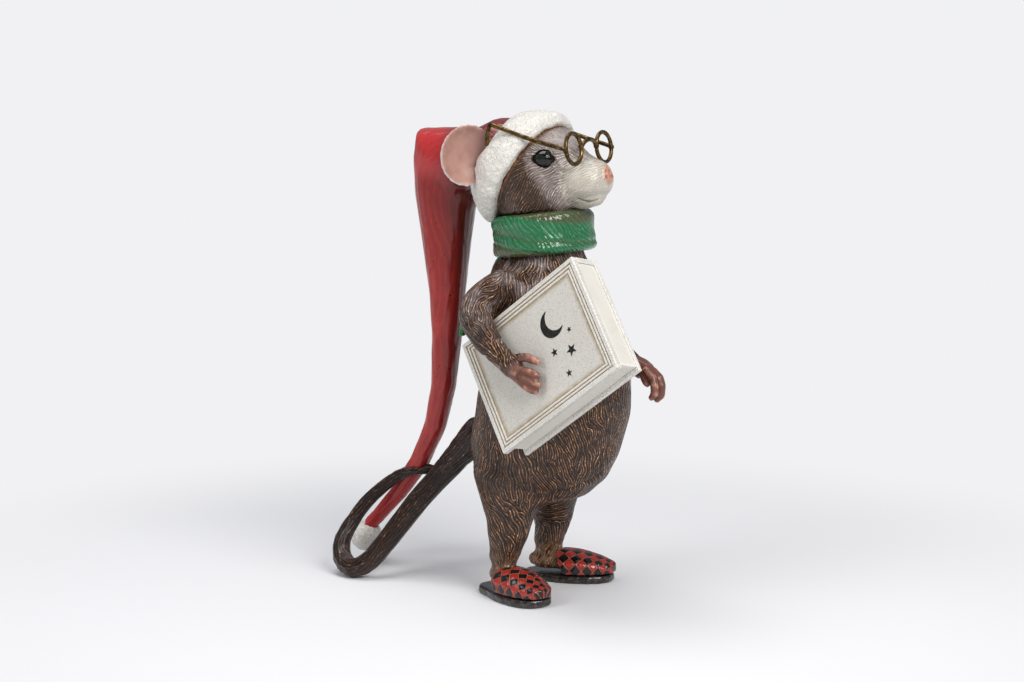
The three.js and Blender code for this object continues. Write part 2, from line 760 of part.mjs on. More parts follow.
// a point of the book's own frame: towards the fore edge, towards the top edge, out of the front cover
const onBook = (fore, top, out) => at(fore, top, out).applyQuaternion(bookTurn).add(BOOK_CENTRE);

function placeOnBook(geometry) {
  geometry.applyQuaternion(bookTurn);
  return geometry.translate(...BOOK_CENTRE.toArray());
}

function slab(foreFrom, foreTo, topFrom, topTo, outFrom, outTo) {
  const box = new THREE.BoxGeometry(foreTo - foreFrom, topTo - topFrom, outTo - outFrom);
  return box.translate((foreFrom + foreTo) / 2, (topFrom + topTo) / 2, (outFrom + outTo) / 2);
}

function rectangle(halfWidth, halfHeight, PathClass) {
  const path = new PathClass();
  path.moveTo(-halfWidth, -halfHeight);
  path.lineTo(halfWidth, -halfHeight);
  path.lineTo(halfWidth, halfHeight);
  path.lineTo(-halfWidth, halfHeight);
  path.closePath();
  return path;
}

const halfBookWidth = BOOK_WIDTH / 2;
const halfBookHeight = BOOK_HEIGHT / 2;
const coverFace = -2 * FRAME_STEP;
const frontInside = -BOARD_THICKNESS;
const backInside = -BOOK_THICKNESS + BOARD_THICKNESS * 0.7;

function board(inside, outside) {
  return slab(-halfBookWidth, halfBookWidth, -halfBookHeight, halfBookHeight, inside, outside);
}

function frameStep(inset, width, height) {
  const outer = rectangle(halfBookWidth - inset, halfBookHeight - inset, THREE.Shape);
  outer.holes.push(rectangle(halfBookWidth - inset - width, halfBookHeight - inset - width, THREE.Path));
  const strip = new THREE.ExtrudeGeometry(outer, { depth: height + 0.2, bevelEnabled: false });
  return strip.translate(0, 0, coverFace - 0.2);
}

const frontBoard = join(
  board(frontInside, coverFace),
  frameStep(0, FRAME_WIDTH, 2 * FRAME_STEP),
  frameStep(FRAME_WIDTH - 0.1, FRAME_WIDTH * 0.55, FRAME_STEP),
);

const spineThickness = BOARD_THICKNESS * 0.8;
addPiece('book_front_board', placeOnBook(frontBoard), BOOK_CREAM, 0.5);
addPiece(
  'book_back_board',
  placeOnBook(board(-BOOK_THICKNESS, backInside)),
  BOOK_CREAM,
  0.5,
);
addPiece(
  'book_spine',
  placeOnBook(slab(
    -halfBookWidth,
    -halfBookWidth + spineThickness,
    -halfBookHeight,
    halfBookHeight,
    backInside + GLUE_GAP,
    frontInside - GLUE_GAP,
  )),
  BOOK_CREAM,
  0.5,
);
addPiece(
  'book_page_block',
  placeOnBook(slab(
    -halfBookWidth + spineThickness + GLUE_GAP,
    halfBookWidth - BOARD_OVERHANG,
    -halfBookHeight + BOARD_OVERHANG,
    halfBookHeight - BOARD_OVERHANG * 0.3,
    backInside + GLUE_GAP,
    frontInside - GLUE_GAP,
  )),
  BOOK_CREAM,
  0.6,
);

function bookRoom(gap) {
  return placeOnBook(slab(
    -halfBookWidth - gap,
    halfBookWidth + gap,
    -halfBookHeight - gap,
    halfBookHeight + gap,
    -BOOK_THICKNESS - gap,
    gap,
  ));
}

// Arms: rods from the shoulder over the elbow to the palm, with three fingers and a thumb each

const ARM_TAPER = along([
  [0, UPPER_ARM_RADIUS * 0.55],
  [0.07, UPPER_ARM_RADIUS * 0.95],
  [0.2, UPPER_ARM_RADIUS],
  [0.4, ELBOW_RADIUS],
  [0.6, (ELBOW_RADIUS + WRIST_RADIUS) / 2 - 0.1],
  [0.84, WRIST_RADIUS],
  [0.94, PALM_RADIUS],
  [1, PALM_RADIUS * 0.7],
]);
const atChest = (x, y, rise) => at(x, y, CHEST_HEIGHT + rise);
const shoulder = (side) => atChest(side.x * (CHEST_HALF_WIDTH - 2.4), -1.5, 4.4);

// a point of the left hand, from the end of its palm
const atPalm = (x, y, z) => at(x, y, z).add(atChest(13.8, -32.4, -26.2));

const hands = {
  right: {
    arm: [
      atChest(-24.4, 8.2, -4.8),
      onBook(-15.4, -12.6, 4.7),
      onBook(-3.4, -8.8, 3.9),
      onBook(3.2, -5.9, 3.3),
    ],
    digits: [
      [onBook(1.5, -6, 3.2), onBook(5.5, -1.6, 3.3), onBook(7.6, -0.6, 1.9)],
      [onBook(2.5, -7, 3.2), onBook(7, -3.2, 3.4), onBook(10, -1.6, 1.9)],
      [onBook(2.5, -8, 3.2), onBook(7.6, -5.6, 3.2), onBook(11.2, -3.2, 1.9)],
      [onBook(-2.6, -6.6, 3.4), onBook(0.4, -0.8, 3.6), onBook(3.6, 1.4, 1.9)],
    ],
  },
  left: {
    arm: [
      atChest(22.6, -3.4, -7.6),
      atChest(19.6, -13.4, -17),
      atChest(16.4, -26, -25.2),
      atPalm(0, 0, 0),
    ],
    digits: [
      [atPalm(1.4, 1.4, 0.6), atPalm(0.8, -3.2, -1.8), atPalm(0.6, -4.4, -6.8), atPalm(0.2, -2.4, -9.2)],
      [atPalm(-0.2, 0, 0.8), atPalm(-1.6, -4.6, -1.8), atPalm(-2, -5.6, -6.8), atPalm(-2.2, -3.6, -9.4)],
      [atPalm(-1.8, 0.4, 0.6), atPalm(-4, -3.6, -1.8), atPalm(-4.6, -4.6, -6.4), atPalm(-4.6, -3, -8.4)],
      [atPalm(0.2, 2.4, -0.4), atPalm(-2.8, 0, -2.2), atPalm(-4, -2, -4.2)],
    ],
  },
};

function digit(points) {
  const curve = through(...points);
  const roundTip = (t) => FINGER_RADIUS * (t > 0.9 ? 0.62 : 1 - 0.12 * t);
  return rod(curve, 5, 7, roundTip);
}

const torsoRoom = skin(grown(bodyField, GLUE_GAP + SKIN_ALLOWANCE), TORSO_LOW, TORSO_HIGH, TORSO_CELL);
const armPegs = {};
for (const side of SIDES) {
  const { arm, digits } = hands[side.name];
  const start = shoulder(side);
  const limbRod = rod(through(start, ...arm), 13, 11, ARM_TAPER);
  const pegStart = start.clone().add(at(side.x * UPPER_ARM_RADIUS * 0.4, 0, -1));
  const pegEnd = start.clone().add(at(-side.x * ARM_PEG_LENGTH, 0, -1));
  armPegs[side.name] = [pegStart, pegEnd];
  const whole = join(limbRod, ...digits.map(digit));
  const shape = cut(whole, torsoRoom, scarfRing(GLUE_GAP), bookRoom(GLUE_GAP));
  addPiece(`arm_${side.name}`, join(shape, peg(pegStart, pegEnd, ARM_PEG_RADIUS)), FUR_BROWN, 0.45);
}

// Tail: leaves the body on a peg, runs down to the floor and curls back up to itself

const tailCurve = through(
  at(0, 22, 50.6),
  at(-1, 29.4, 43.1),
  at(-3.6, 35.9, 34.9),
  at(-7, 41.9, 27.2),
  at(-11, 47.5, 18.6),
  at(-15.5, 51.9, 10.9),
  at(-19.5, 55.2, 5.6),
  at(-21.2, 60.2, TAIL_MIDDLE_RADIUS - TAIL_FLAT),
  at(-18.6, 66.8, 6),
  at(-14.5, 69.1, 11.4),
  at(-10.5, 67.7, 16.8),
  at(-6.5, 64.6, 23.1),
  at(-3.2, 59.6, 28.4),
  at(-0.8, 53.6, 32.9),
  at(1.2, 47.5, 34.4),
  at(2.6, 41.7, 34.8),
);
const TAIL_TAPER = along([
  [0, TAIL_ROOT_RADIUS],
  [0.1, TAIL_ROOT_RADIUS],
  [0.22, TAIL_MIDDLE_RADIUS + 0.3],
  [0.55, TAIL_MIDDLE_RADIUS - 0.2],
  [0.75, TAIL_TIP_RADIUS + 0.5],
  [0.97, TAIL_TIP_RADIUS],
  [1, TAIL_TIP_RADIUS * 0.6],
]);
// a wide block whose top is at a height, to cut away what lies below it
function blockBelow(height) {
  const block = new THREE.BoxGeometry(BLOCK_WIDTH, BLOCK_WIDTH, BLOCK_DEPTH);
  return block.translate(0, 0, height - BLOCK_DEPTH / 2);
}

const tailPeg = (slack) => peg(at(0, 24, 49), at(0, 20 - TAIL_PEG_LENGTH, 54), TAIL_PEG_RADIUS, slack);
const floorBlock = blockBelow(0);
const tailRod = cut(rod(tailCurve, 34, 9, TAIL_TAPER), torsoRoom, floorBlock, bagShape(GLUE_GAP));
addPiece('tail', join(tailRod, tailPeg(0)), FUR_BROWN, 0.4);

addPiece('scarf_collar', scarfRing(0), SCARF_GREEN, 0.3);

// Scarf end: a flat tongue that hangs down the back from under the collar

function scarfEnd() {
  const rings = [];
  const steps = 8;
  const top = SCARF_CENTRE.z - SCARF_HEIGHT / 2 - 0.6;
  for (let i = 0; i <= steps; i += 1) {
    const t = i / steps;
    const centre = at(-5 - 5.4 * t, 9.6 + 13.4 * Math.min(t * 1.25, 1) ** 1.4, top - SCARF_END_LENGTH * t);
    const half = (SCARF_END_WIDTH / 2) * (0.8 + 0.2 * t);
    const thick = SCARF_END_THICKNESS / 2;
    const ring = [];
    for (let s = 0; s < 12; s += 1) {
      const angle = (2 * Math.PI * s) / 12;
      const wide = Math.sign(Math.cos(angle)) * Math.abs(Math.cos(angle)) ** 0.5 * half;
      const deep = Math.sign(Math.sin(angle)) * Math.abs(Math.sin(angle)) ** 0.6 * thick;
      ring.push(at(wide, -deep, 0).applyAxisAngle(at(0, 0, 1), degrees(SCARF_END_TURN)).add(centre));
    }
    rings.push(ring);
  }
  return loft(rings);
}

addPiece('scarf_end', cut(scarfEnd(), torsoRoom, scarfRing(GLUE_GAP)), SCARF_GREEN, 0.35);

// Slippers: a flat sole and a domed upper that covers the front of the foot

function soleOutline(inset) {
  const half = SLIPPER_WIDTH / 2 - inset;
  const toe = SLIPPER_LENGTH * 0.5 - inset;
  const outline = new THREE.Shape();
  outline.moveTo(0, toe);
  outline.bezierCurveTo(-half * 0.8, toe, -half, toe * 0.62, -half, toe * 0.2);
  outline.bezierCurveTo(-half, -toe * 0.3, -half * 0.74, -toe * 0.3, -half * 0.74, -toe * 0.62);
  outline.bezierCurveTo(-half * 0.74, -toe * 0.9, -half * 0.4, -toe, 0, -toe);
  outline.bezierCurveTo(half * 0.4, -toe, half * 0.74, -toe * 0.9, half * 0.74, -toe * 0.62);
  outline.bezierCurveTo(half * 0.74, -toe * 0.3, half, -toe * 0.3, half, toe * 0.2);
  outline.bezierCurveTo(half, toe * 0.62, half * 0.8, toe, 0, toe);
  return outline;
}

function slipperPlace(geometry, side) {
  const out = degrees(TOE_OUT) * side.x;
  geometry.rotateZ(Math.PI + out);
  const ahead = side.x < 0 ? SLIPPER_AHEAD_RIGHT : SLIPPER_AHEAD_LEFT;
  const ankle = ankleOf(side);
  return geometry.translate(ankle.x + Math.sin(out) * ahead, ankle.y - Math.cos(out) * ahead, 0);
}

function soleShape(side) {
  const bevel = 0.5;
  const sole = new THREE.ExtrudeGeometry(soleOutline(bevel), {
    depth: SOLE_THICKNESS - 2 * bevel,
    bevelEnabled: true,
    bevelSize: bevel,
    bevelThickness: bevel,
    bevelSegments: 1,
    curveSegments: 4,
  });
  return slipperPlace(sole.translate(0, 0, bevel), side);
}

// the domed outside of the upper, or its hollow when it is drawn in
function upperDome(inset, bottom) {
  const wall = new THREE.ExtrudeGeometry(soleOutline(UPPER_INSET + inset), {
    depth: 20,
    bevelEnabled: false,
    curveSegments: 4,
  });
  wall.translate(0, 0, bottom);
  const dome = new THREE.SphereGeometry(1, 18, 10);
  dome.rotateX(Math.PI / 2);
  dome.scale(SLIPPER_WIDTH * 0.56 - inset, UPPER_LENGTH * 0.78 - inset, UPPER_HEIGHT - inset);
  dome.translate(0, SLIPPER_LENGTH / 2 - UPPER_LENGTH * 0.7, SOLE_THICKNESS);
  return overlapOf(wall, dome);
}

function upperShell(side, gap) {
  const behind = new THREE.BoxGeometry(40, 40, 40).translate(0, -20 - gap, 0);
  behind.rotateX(degrees(UPPER_RAKE));
  behind.translate(0, SLIPPER_LENGTH / 2 - UPPER_LENGTH + 2.4, SOLE_THICKNESS);
  const outside = upperDome(-gap, SOLE_THICKNESS + GLUE_GAP - gap);
  const shell = cut(outside, upperDome(UPPER_WALL + gap, -1), behind);
  return slipperPlace(shell, side);
}

for (const side of SIDES) {
  addPiece(`slipper_sole_${side.name}`, soleShape(side), SOLE_BLACK, 0.4);
  addPiece(`slipper_upper_${side.name}`, upperShell(side, 0), SLIPPER_RED, 0.25);
}

// The body itself, cut where the other pieces sit in it

const soleBlock = blockBelow(SOLE_THICKNESS + GLUE_GAP);
const torso = cut(
  join(skin(bodyField, TORSO_LOW, TORSO_HIGH, TORSO_CELL), ...SIDES.map(footShape), neckPeg),
  soleBlock,
  scarfRing(GLUE_GAP),
  bookRoom(GLUE_GAP),
  tailPeg(PEG_SLACK),
  ...SIDES.map((side) => upperShell(side, GLUE_GAP)),
  ...SIDES.map((side) => peg(...armPegs[side.name], ARM_PEG_RADIUS, PEG_SLACK)),
);
addPiece('torso', torso, FUR_BROWN, 0.5);

// The origin is the point of the floor under the middle of the whole figurine

const wholeBox = new THREE.Box3().setFromObject(figurine);
const floorMiddle = wholeBox.getCenter(new THREE.Vector3()).setZ(wholeBox.min.z);
for (const mesh of figurine.children) mesh.geometry.translate(-floorMiddle.x, -floorMiddle.y, -floorMiddle.z);

export default figurine;
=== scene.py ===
# %% [markdown]
# # A mouse in a nightcap, as a painted casting
#
# The real object is a figurine of cast resin. It was modelled in clay, moulded, cast, and then painted by hand:
# dark colour sits in the cuts, and lighter colour is rubbed on the ridges. So each piece here starts from the
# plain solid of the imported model, is smoothed as clay is smoothed, and is then carved and painted.

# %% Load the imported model
import math

import bmesh
import bpy
import numpy as np
from mathutils import Matrix, Vector, noise
from mathutils.bvhtree import BVHTree


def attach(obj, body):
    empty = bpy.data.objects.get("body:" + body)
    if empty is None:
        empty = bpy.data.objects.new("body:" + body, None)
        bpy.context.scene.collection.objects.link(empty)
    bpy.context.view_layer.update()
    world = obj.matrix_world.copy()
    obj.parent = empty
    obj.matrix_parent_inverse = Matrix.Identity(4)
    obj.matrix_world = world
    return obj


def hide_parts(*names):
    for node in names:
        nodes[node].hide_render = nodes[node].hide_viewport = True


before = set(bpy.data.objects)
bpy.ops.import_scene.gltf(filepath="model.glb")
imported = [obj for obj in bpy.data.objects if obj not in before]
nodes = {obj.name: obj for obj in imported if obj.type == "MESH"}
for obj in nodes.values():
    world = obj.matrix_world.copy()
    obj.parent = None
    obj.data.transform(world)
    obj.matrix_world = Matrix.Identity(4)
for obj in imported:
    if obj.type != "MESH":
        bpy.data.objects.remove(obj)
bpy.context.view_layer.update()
MM = 0.001


# %% Helpers for shapes, meshes and objects
def shape_of(*meshes):
    """One editable shape of all the meshes."""
    shape = bmesh.new()
    for mesh in meshes:
        shape.from_mesh(mesh)
    return shape


def merge(shape):
    """Joins corners that lie within a hundredth of a millimetre of each other."""
    bmesh.ops.remove_doubles(shape, verts=shape.verts, dist=0.01 * MM)


def mesh_of(shape, name):
    """A new mesh made of a shape, which is used up."""
    mesh = bpy.data.meshes.new(name)
    shape.to_mesh(mesh)
    shape.free()
    return mesh


def put(name, data):
    """A new object in the scene."""
    thing = bpy.data.objects.new(name, data)
    bpy.context.scene.collection.objects.link(thing)
    return thing


print("shape helpers ready")

# %% [markdown]
# ## Working a cast form as numbers
#
# A form can be carved with a brush by hand, or with sums on its points. Sums are used here, because a lesson that
# is run again has to give the same figurine. A copy of the plain solid is merged, rebuilt in even squares with a
# voxel remesh, and relaxed: each point moves towards its neighbours and a little back again, so facets melt away
# and the form doesn't shrink.


# %% Clay: the points of a piece, their neighbours and their normals
STEP_IN, STEP_OUT = 0.5, -0.53


class Clay:
    """One piece as numbers, in millimetres."""

    def __init__(self, piece):
        self.piece = piece
        mesh = piece.data
        self.size = len(mesh.vertices)
        flat = np.empty(self.size * 3, dtype=np.float32)
        mesh.vertices.foreach_get("co", flat)
        self.points = flat.reshape(-1, 3).astype(float) / MM
        ends = np.empty(len(mesh.edges) * 2, dtype=np.int32)
        mesh.edges.foreach_get("vertices", ends)
        self.first, self.second = ends.reshape(-1, 2).T
        self.count = np.bincount(ends, minlength=self.size).clip(1)

    def average(self, values):
        """The mean of each point's neighbours."""
        columns = values.reshape(self.size, -1).T
        sums = [
            np.bincount(self.first, column[self.second], self.size)
            + np.bincount(self.second, column[self.first], self.size)
            for column in columns
        ]
        return (np.stack(sums, 1) / self.count[:, None]).reshape(values.shape)

    def blur(self, values, passes):
        for _ in range(passes):
            values = (values + self.average(values)) / 2
        return values

    def relax(self, passes):
        """Melts facets and keeps the size: a step in, then a slightly longer step out."""
        for _ in range(passes):
            for step in (STEP_IN, STEP_OUT):
                self.points += step * (self.average(self.points) - self.points)
        self.store()
        return self

    def store(self):
        self.piece.data.vertices.foreach_set("co", (self.points * MM).ravel().astype(np.float32))
        self.piece.data.update()

    def normals(self):
        flat = np.empty(self.size * 3, dtype=np.float32)
        self.piece.data.vertex_normals.foreach_get("vector", flat)
        return flat.reshape(-1, 3).astype(float)

    def push(self, amount):
        """Moves each point along its normal by its own amount."""
        self.points += self.normals() * np.asarray(amount).reshape(-1, 1)
        self.store()

    def note(self, label, values, kind="FLOAT", field="value"):
        """Keeps a value at each point, for the paint to read."""
        layer = self.piece.data.attributes.new(label, kind, "POINT")
        layer.data.foreach_set(field, np.asarray(values, dtype=np.float32).ravel())

    def note_relief(self, passes=14, reach=0.35):
        """How far each point stands above or below the form around it."""
        away = self.points - self.blur(self.points, passes)
        height = (away * self.normals()).sum(1)
        self.note("relief", np.clip(height / reach, -1, 1))


print("clay ready")


# %% Soft steps, arrows and noise
def gently(value, low, high):
    """0 below low, 1 above high, and a soft step between."""
    share = np.clip((value - low) / (high - low), 0, 1)
    return share * share * (3 - 2 * share)


def unit(arrows):
    return arrows / np.linalg.norm(arrows, axis=1, keepdims=True).clip(1e-6)


def about_axis(points, centre, axis):
    """How far each point lies along an axis, and its arrow away from the axis."""
    offset = points - centre
    along = offset @ axis
    return along, offset - along[:, None] * axis


SHUFFLE = np.array([12.9898, 78.233, 37.719])


def grain(points, seed):
    """A value from 0 to 1 that looks random and depends only on the place."""
    value = np.sin(points @ SHUFFLE + seed * 7.31) * 43758.5453
    return value - np.floor(value)


def ripple(points, size, seed):
    """Soft noise from -1 to 1 with hills about one size across."""
    moved = points / size + seed * 3.7
    return np.array([noise.noise(place) for place in moved.tolist()]) * 1.6


print("half a step", float(gently(0.5, 0, 1)))


# %% [markdown]
# ## Hair that follows the form
#
# The fur of the real figurine is cut with a fine gouge: thin wavy lines, evenly spaced, that follow the body and
# fork now and then. A noise texture can't turn with the body, so the lines are found on the mesh. Each point gets
# a place in a wave that runs across the hair. From point to point that place has to move on by the distance
# between them, measured across the hair. The points start at random and settle it with their neighbours, again
# and again. What is left where they can't agree is a fork.


# %% Find the waves of the hair
def along_surface(clay, heading):
    """The heading laid flat on the surface, with a length of one."""
    normals = clay.normals()
    return unit(heading - normals * (heading * normals).sum(1, keepdims=True))


def swirled(clay, heading, size, turn, seed):
    """The heading, bent from side to side over the surface."""
    heading = along_surface(clay, heading)
    sideways = np.cross(clay.normals(), heading)
    return heading + sideways * (ripple(clay.points, size, seed) * turn)[:, None]


def comb(clay, heading, pitch, seed, label, rounds):
    """Notes the wave across the hair as a turning arrow; returns 1 on each hair and 0 between."""
    across = np.cross(clay.normals(), along_surface(clay, heading))
    across = across[clay.first] + across[clay.second]
    run = clay.points[clay.second] - clay.points[clay.first]
    pitch = pitch * (1 + 0.22 * ripple(clay.points, pitch * 5, seed + 1))
    pitch = (pitch[clay.first] + pitch[clay.second]) / 2
    turn = np.exp(1j * math.pi / pitch * (across * run).sum(1))
    wave = np.exp(2j * math.pi * grain(clay.points, seed))
    for _ in range(rounds):
        onward, backward = wave[clay.first] * turn, wave[clay.second] * turn.conj()
        wave = wave * 0.5 + sum(
            np.bincount(ends, values.real, clay.size) + 1j * np.bincount(ends, values.imag, clay.size)
            for ends, values in ((clay.second, onward), (clay.first, backward))
        )
        wave /= np.abs(wave).clip(1e-9)
    clay.note(label, np.stack([wave.real, wave.imag, np.zeros(clay.size)], 1), "FLOAT_VECTOR", "vector")
    return (wave.real + 1) / 2


def comb_both(clay, heading, pitch, fine_pitch, seed, rounds=260):
    """The main hair and a finer one beside it, for the paint to read."""
    hairs = comb(clay, heading, pitch, seed, "comb", rounds)
    comb(clay, heading, fine_pitch, seed + 1, "comb_fine", rounds)
    return hairs


print("combs ready")

# %% [markdown]
# ## From a plain solid to a cast piece
#
# A remesh makes one closed skin of a copy, so small gaps and hidden faces go, and one subdivision afterwards
# gives the carving enough points. The other way, bevels on the solid itself, would keep its facets. Every piece
# is dressed as soon as it is made: it rides on the figurine's one body, and the nodes it stands for are hidden.


# %% Copy a solid and melt it
def cast_copy(node, name, square, passes, swell=0.0, more=(), only=None, also=()):
    """A CAD node's copy: merged, rebuilt in even squares, melted smooth, made finer and dressed.

    A swell closes narrow gaps between several shapes before they are rebuilt as one. It takes more meshes with
    the node's own, or only another mesh in its place, and it can stand for other nodes also."""
    shape = shape_of(only or nodes[node].data, *more)
    merge(shape)
    if swell:
        shape.normal_update()
        for vert in shape.verts:
            vert.co += vert.normal * swell * MM
    piece = smooth_piece(shape, name)
    squares = piece.modifiers.new("squares", "REMESH")
    squares.mode = "VOXEL"
    squares.voxel_size = square * MM
    settle(piece)
    form = Clay(piece).relax(passes)
    if swell:
        form.push(np.full(form.size, -swell))
    rounder = piece.modifiers.new("rounder", "SUBSURF")
    rounder.levels = rounder.render_levels = 1
    settle(piece)
    print(name, "points", len(piece.data.vertices))
    dress(piece, node, *also)
    return Clay(piece)


def smooth_piece(shape, name):
    """A new smooth object made of a shape."""
    piece = put(name, mesh_of(shape, name))
    piece.data.shade_smooth()
    return piece


def surface_of(node):
    """A CAD node's surface, for asking what is nearest to a place."""
    shape = shape_of(nodes[node].data)
    surface = BVHTree.FromBMesh(shape)
    shape.free()
    return surface


def settle(piece):
    """Turns a piece's modifiers into its mesh."""
    shaped = piece.evaluated_get(bpy.context.evaluated_depsgraph_get())
    mesh = bpy.data.meshes.new_from_object(shaped)
    worn = piece.data
    piece.modifiers.clear()
    piece.data = mesh
    bpy.data.meshes.remove(worn)
    mesh.name = piece.name
    mesh.shade_smooth()


print("cast copies ready")


# %% Dress a piece
def dress(piece, *standing_for):
    """The piece rides on the body and stands for its nodes, which are hidden."""
    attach(piece, "root")
    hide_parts(*standing_for)


# %% [markdown]
# ## Paint
#
# Every finish on the figurine is the same kind of thing: opaque paint, a dark wash that stays in the cuts, a
# lighter colour rubbed on what stands up, and a satin varnish. So the wash and the rub are one node group, and
# each material places it with its own colours.


# %% A colour by its code
def paint(code):
    """A colour written as in a paint book, as the shader wants it."""
    parts = [int(code[k:k + 2], 16) / 255 for k in (0, 2, 4)]
    return tuple(c / 12.92 if c <= 0.04045 else ((c + 0.055) / 1.055) ** 2.4 for c in parts) + (1.0,)


print("white", paint("ffffff"))


# %% Nodes of a tree, put together by a recipe
class Recipe:
    """Puts nodes into one tree and joins them."""

    def __init__(self, tree):
        self.tree = tree

    def feed(self, socket, value):
        if isinstance(value, bpy.types.NodeSocket):
            self.tree.links.new(value, socket)
        else:
            socket.default_value = value

    def fill(self, made, sockets):
        for place, value in sockets.items():
            self.feed(made.inputs[place], value)
        return made

    def node(self, kind, sockets=None, **settings):
        made = self.tree.nodes.new("ShaderNode" + kind)
        for label, value in settings.items():
            setattr(made, label, value)
        return self.fill(made, sockets or {})

    def mix(self, share, below, above):
        return self.node("Mix", {0: share, 6: below, 7: above}, data_type="RGBA").outputs[2]

    def tint(self, color, share, code):
        """A paint laid over a colour."""
        return self.mix(share, color, paint(code))

    def sum(self, way, *values):
        return self.node("Math", dict(enumerate(values)), operation=way).outputs[0]

    def times(self, first, second):
        return self.sum("MULTIPLY", first, second)

    def plus(self, first, second):
        return self.sum("ADD", first, second)

    def scaled(self, value, factor, added):
        return self.sum("MULTIPLY_ADD", value, factor, added)

    def ramp(self, value, low, high, start=0.0, end=1.0):
        """A soft step, like gently(), from start to end."""
        sockets = {0: value, 1: low, 2: high, 3: start, 4: end}
        return self.node("MapRange", sockets, interpolation_type="SMOOTHSTEP").outputs[0]

    def patches(self, size, low, high, start=0.0, end=1.0, detail=3.0):
        """Noise with its own soft step: patches about one size across."""
        return self.ramp(self.noise(size, detail), low, high, start, end)

    def place(self):
        return self.node("TexCoord").outputs["Object"]

    def noise(self, size, detail=3.0):
        sockets = {"Vector": self.place(), "Scale": 1 / (size * MM), "Detail": detail, "Roughness": 0.55}
        return self.node("TexNoise", sockets).outputs["Fac"]

    def noted(self, label, part="Fac"):
        return self.node("Attribute", attribute_name=label).outputs[part]

    def combed(self, cut, side, ridge, tip, line, twice=1.0):
        """The strokes of a piece whose hair was combed, in four colours from the cuts to the ridges.

        With twice at 1 there are two hairs to each wave, and the second is dimmer."""
        return self.use(
            strokes.tree, Comb=self.noted("comb", "Vector"), Fine=self.noted("comb_fine", "Vector"),
            Cut=paint(cut), Side=paint(side), Ridge=paint(ridge), Tip=paint(tip), Line=line, Twice=twice,
        )

    def washed(self, color, dark, light, dark_amount, light_amount, blotches):
        """The group for wash and rub, over a paint or another node's colour; blotches are counted per metre."""
        return self.use(
            wash.tree, Relief=self.noted("relief"), Paint=paint(color) if isinstance(color, str) else color,
            Wash=paint(dark), Rub=paint(light), Wash_Amount=dark_amount, Rub_Amount=light_amount,
            Blotch_Size=blotches,
        )

    def washed_coat(self, color, dark, light, dark_amount, light_amount, blotch, rough):
        """Colour, roughness and height of a plain paint with its wash and its rub; the blotch is a size."""
        out = self.washed(color, dark, light, dark_amount, light_amount, 1 / (blotch * MM))
        return out["Color"], self.plus(out["Roughness"], rough), out["Height"]

    def use(self, group, **sockets):
        spaced = {label.replace("_", " "): value for label, value in sockets.items()}
        return self.node("Group", spaced, node_tree=group).outputs


print("recipes ready")


# %% An empty shader group
def new_group(name, inputs, outputs):
    """An empty shader group with named sockets."""
    tree = bpy.data.node_groups.new(name, "ShaderNodeTree")
    for way, sockets in (("INPUT", inputs), ("OUTPUT", outputs)):
        for label, kind in sockets.items():
            tree.interface.new_socket(label, in_out=way, socket_type="NodeSocket" + kind)
    entry = tree.nodes.new("NodeGroupInput").outputs
    leave = tree.nodes.new("NodeGroupOutput").inputs
    return Recipe(tree), entry, leave


print("groups so far", len(bpy.data.node_groups))

# %% The group for wash and rub
wash, entry, leave = new_group(
    "wash_and_rub",
    {"Relief": "Float", "Paint": "Color", "Wash": "Color", "Rub": "Color", "Wash Amount": "Float",
     "Rub Amount": "Float", "Blotch Size": "Float"},
    {"Color": "Color", "Roughness": "Float", "Height": "Float"},
)
blotch = wash.node("TexNoise", {"Vector": wash.place(), "Scale": entry["Blotch Size"], "Detail": 4.0})
blotch = blotch.outputs["Fac"]
speck = wash.noise(0.35, 2.0)
unevenness = wash.scaled(blotch, 0.9, -0.45)
low_places = wash.ramp(wash.plus(entry["Relief"], unevenness), 0.1, -0.75)
high_places = wash.ramp(wash.sum("SUBTRACT", entry["Relief"], unevenness), 0.12, 0.8)
shaded = wash.mix(wash.ramp(blotch, 0.3, 0.75, 0.0, 0.16), entry["Paint"], entry["Wash"])
washed = wash.mix(wash.times(low_places, entry["Wash Amount"]), shaded, entry["Wash"])
rubbed = wash.mix(wash.times(high_places, entry["Rub Amount"]), washed, entry["Rub"])
wash.feed(leave["Color"], rubbed)
wash.feed(leave["Roughness"], wash.scaled(low_places, 0.22, wash.times(blotch, 0.18)))
wash.feed(leave["Height"], wash.scaled(speck, 0.35, wash.times(blotch, 0.65)))
print("group", wash.tree.name)

# %% [markdown]
# ## Strokes from the combed hair
#
# On the real figurine a brush caught the tops of the gouged hair, so thin copper lines run along it, broken and
# uneven. A texture of stripes would run straight through the form, so the second group reads the arrows that the
# comb left on the points. It sharpens them into lines, breaks the lines with noise, and gives the cuts, the
# sides, the lines and their brightest spots a colour each.

# %% The group for combed strokes
strokes, entry, leave = new_group(
    "combed_strokes",
    {"Comb": "Vector", "Fine": "Vector", "Cut": "Color", "Side": "Color", "Ridge": "Color", "Tip": "Color",
     "Line": "Float", "Twice": "Float"},
    {"Color": "Color", "Roughness": "Float", "Height": "Float"},
)


def crest(arrow):
    """1 on a hair and -1 between two: the first part of the arrow, brought to a length of one."""
    arrow = strokes.node("VectorMath", {0: arrow}, operation="NORMALIZE").outputs[0]
    return strokes.node("SeparateXYZ", {0: arrow}).outputs[0]


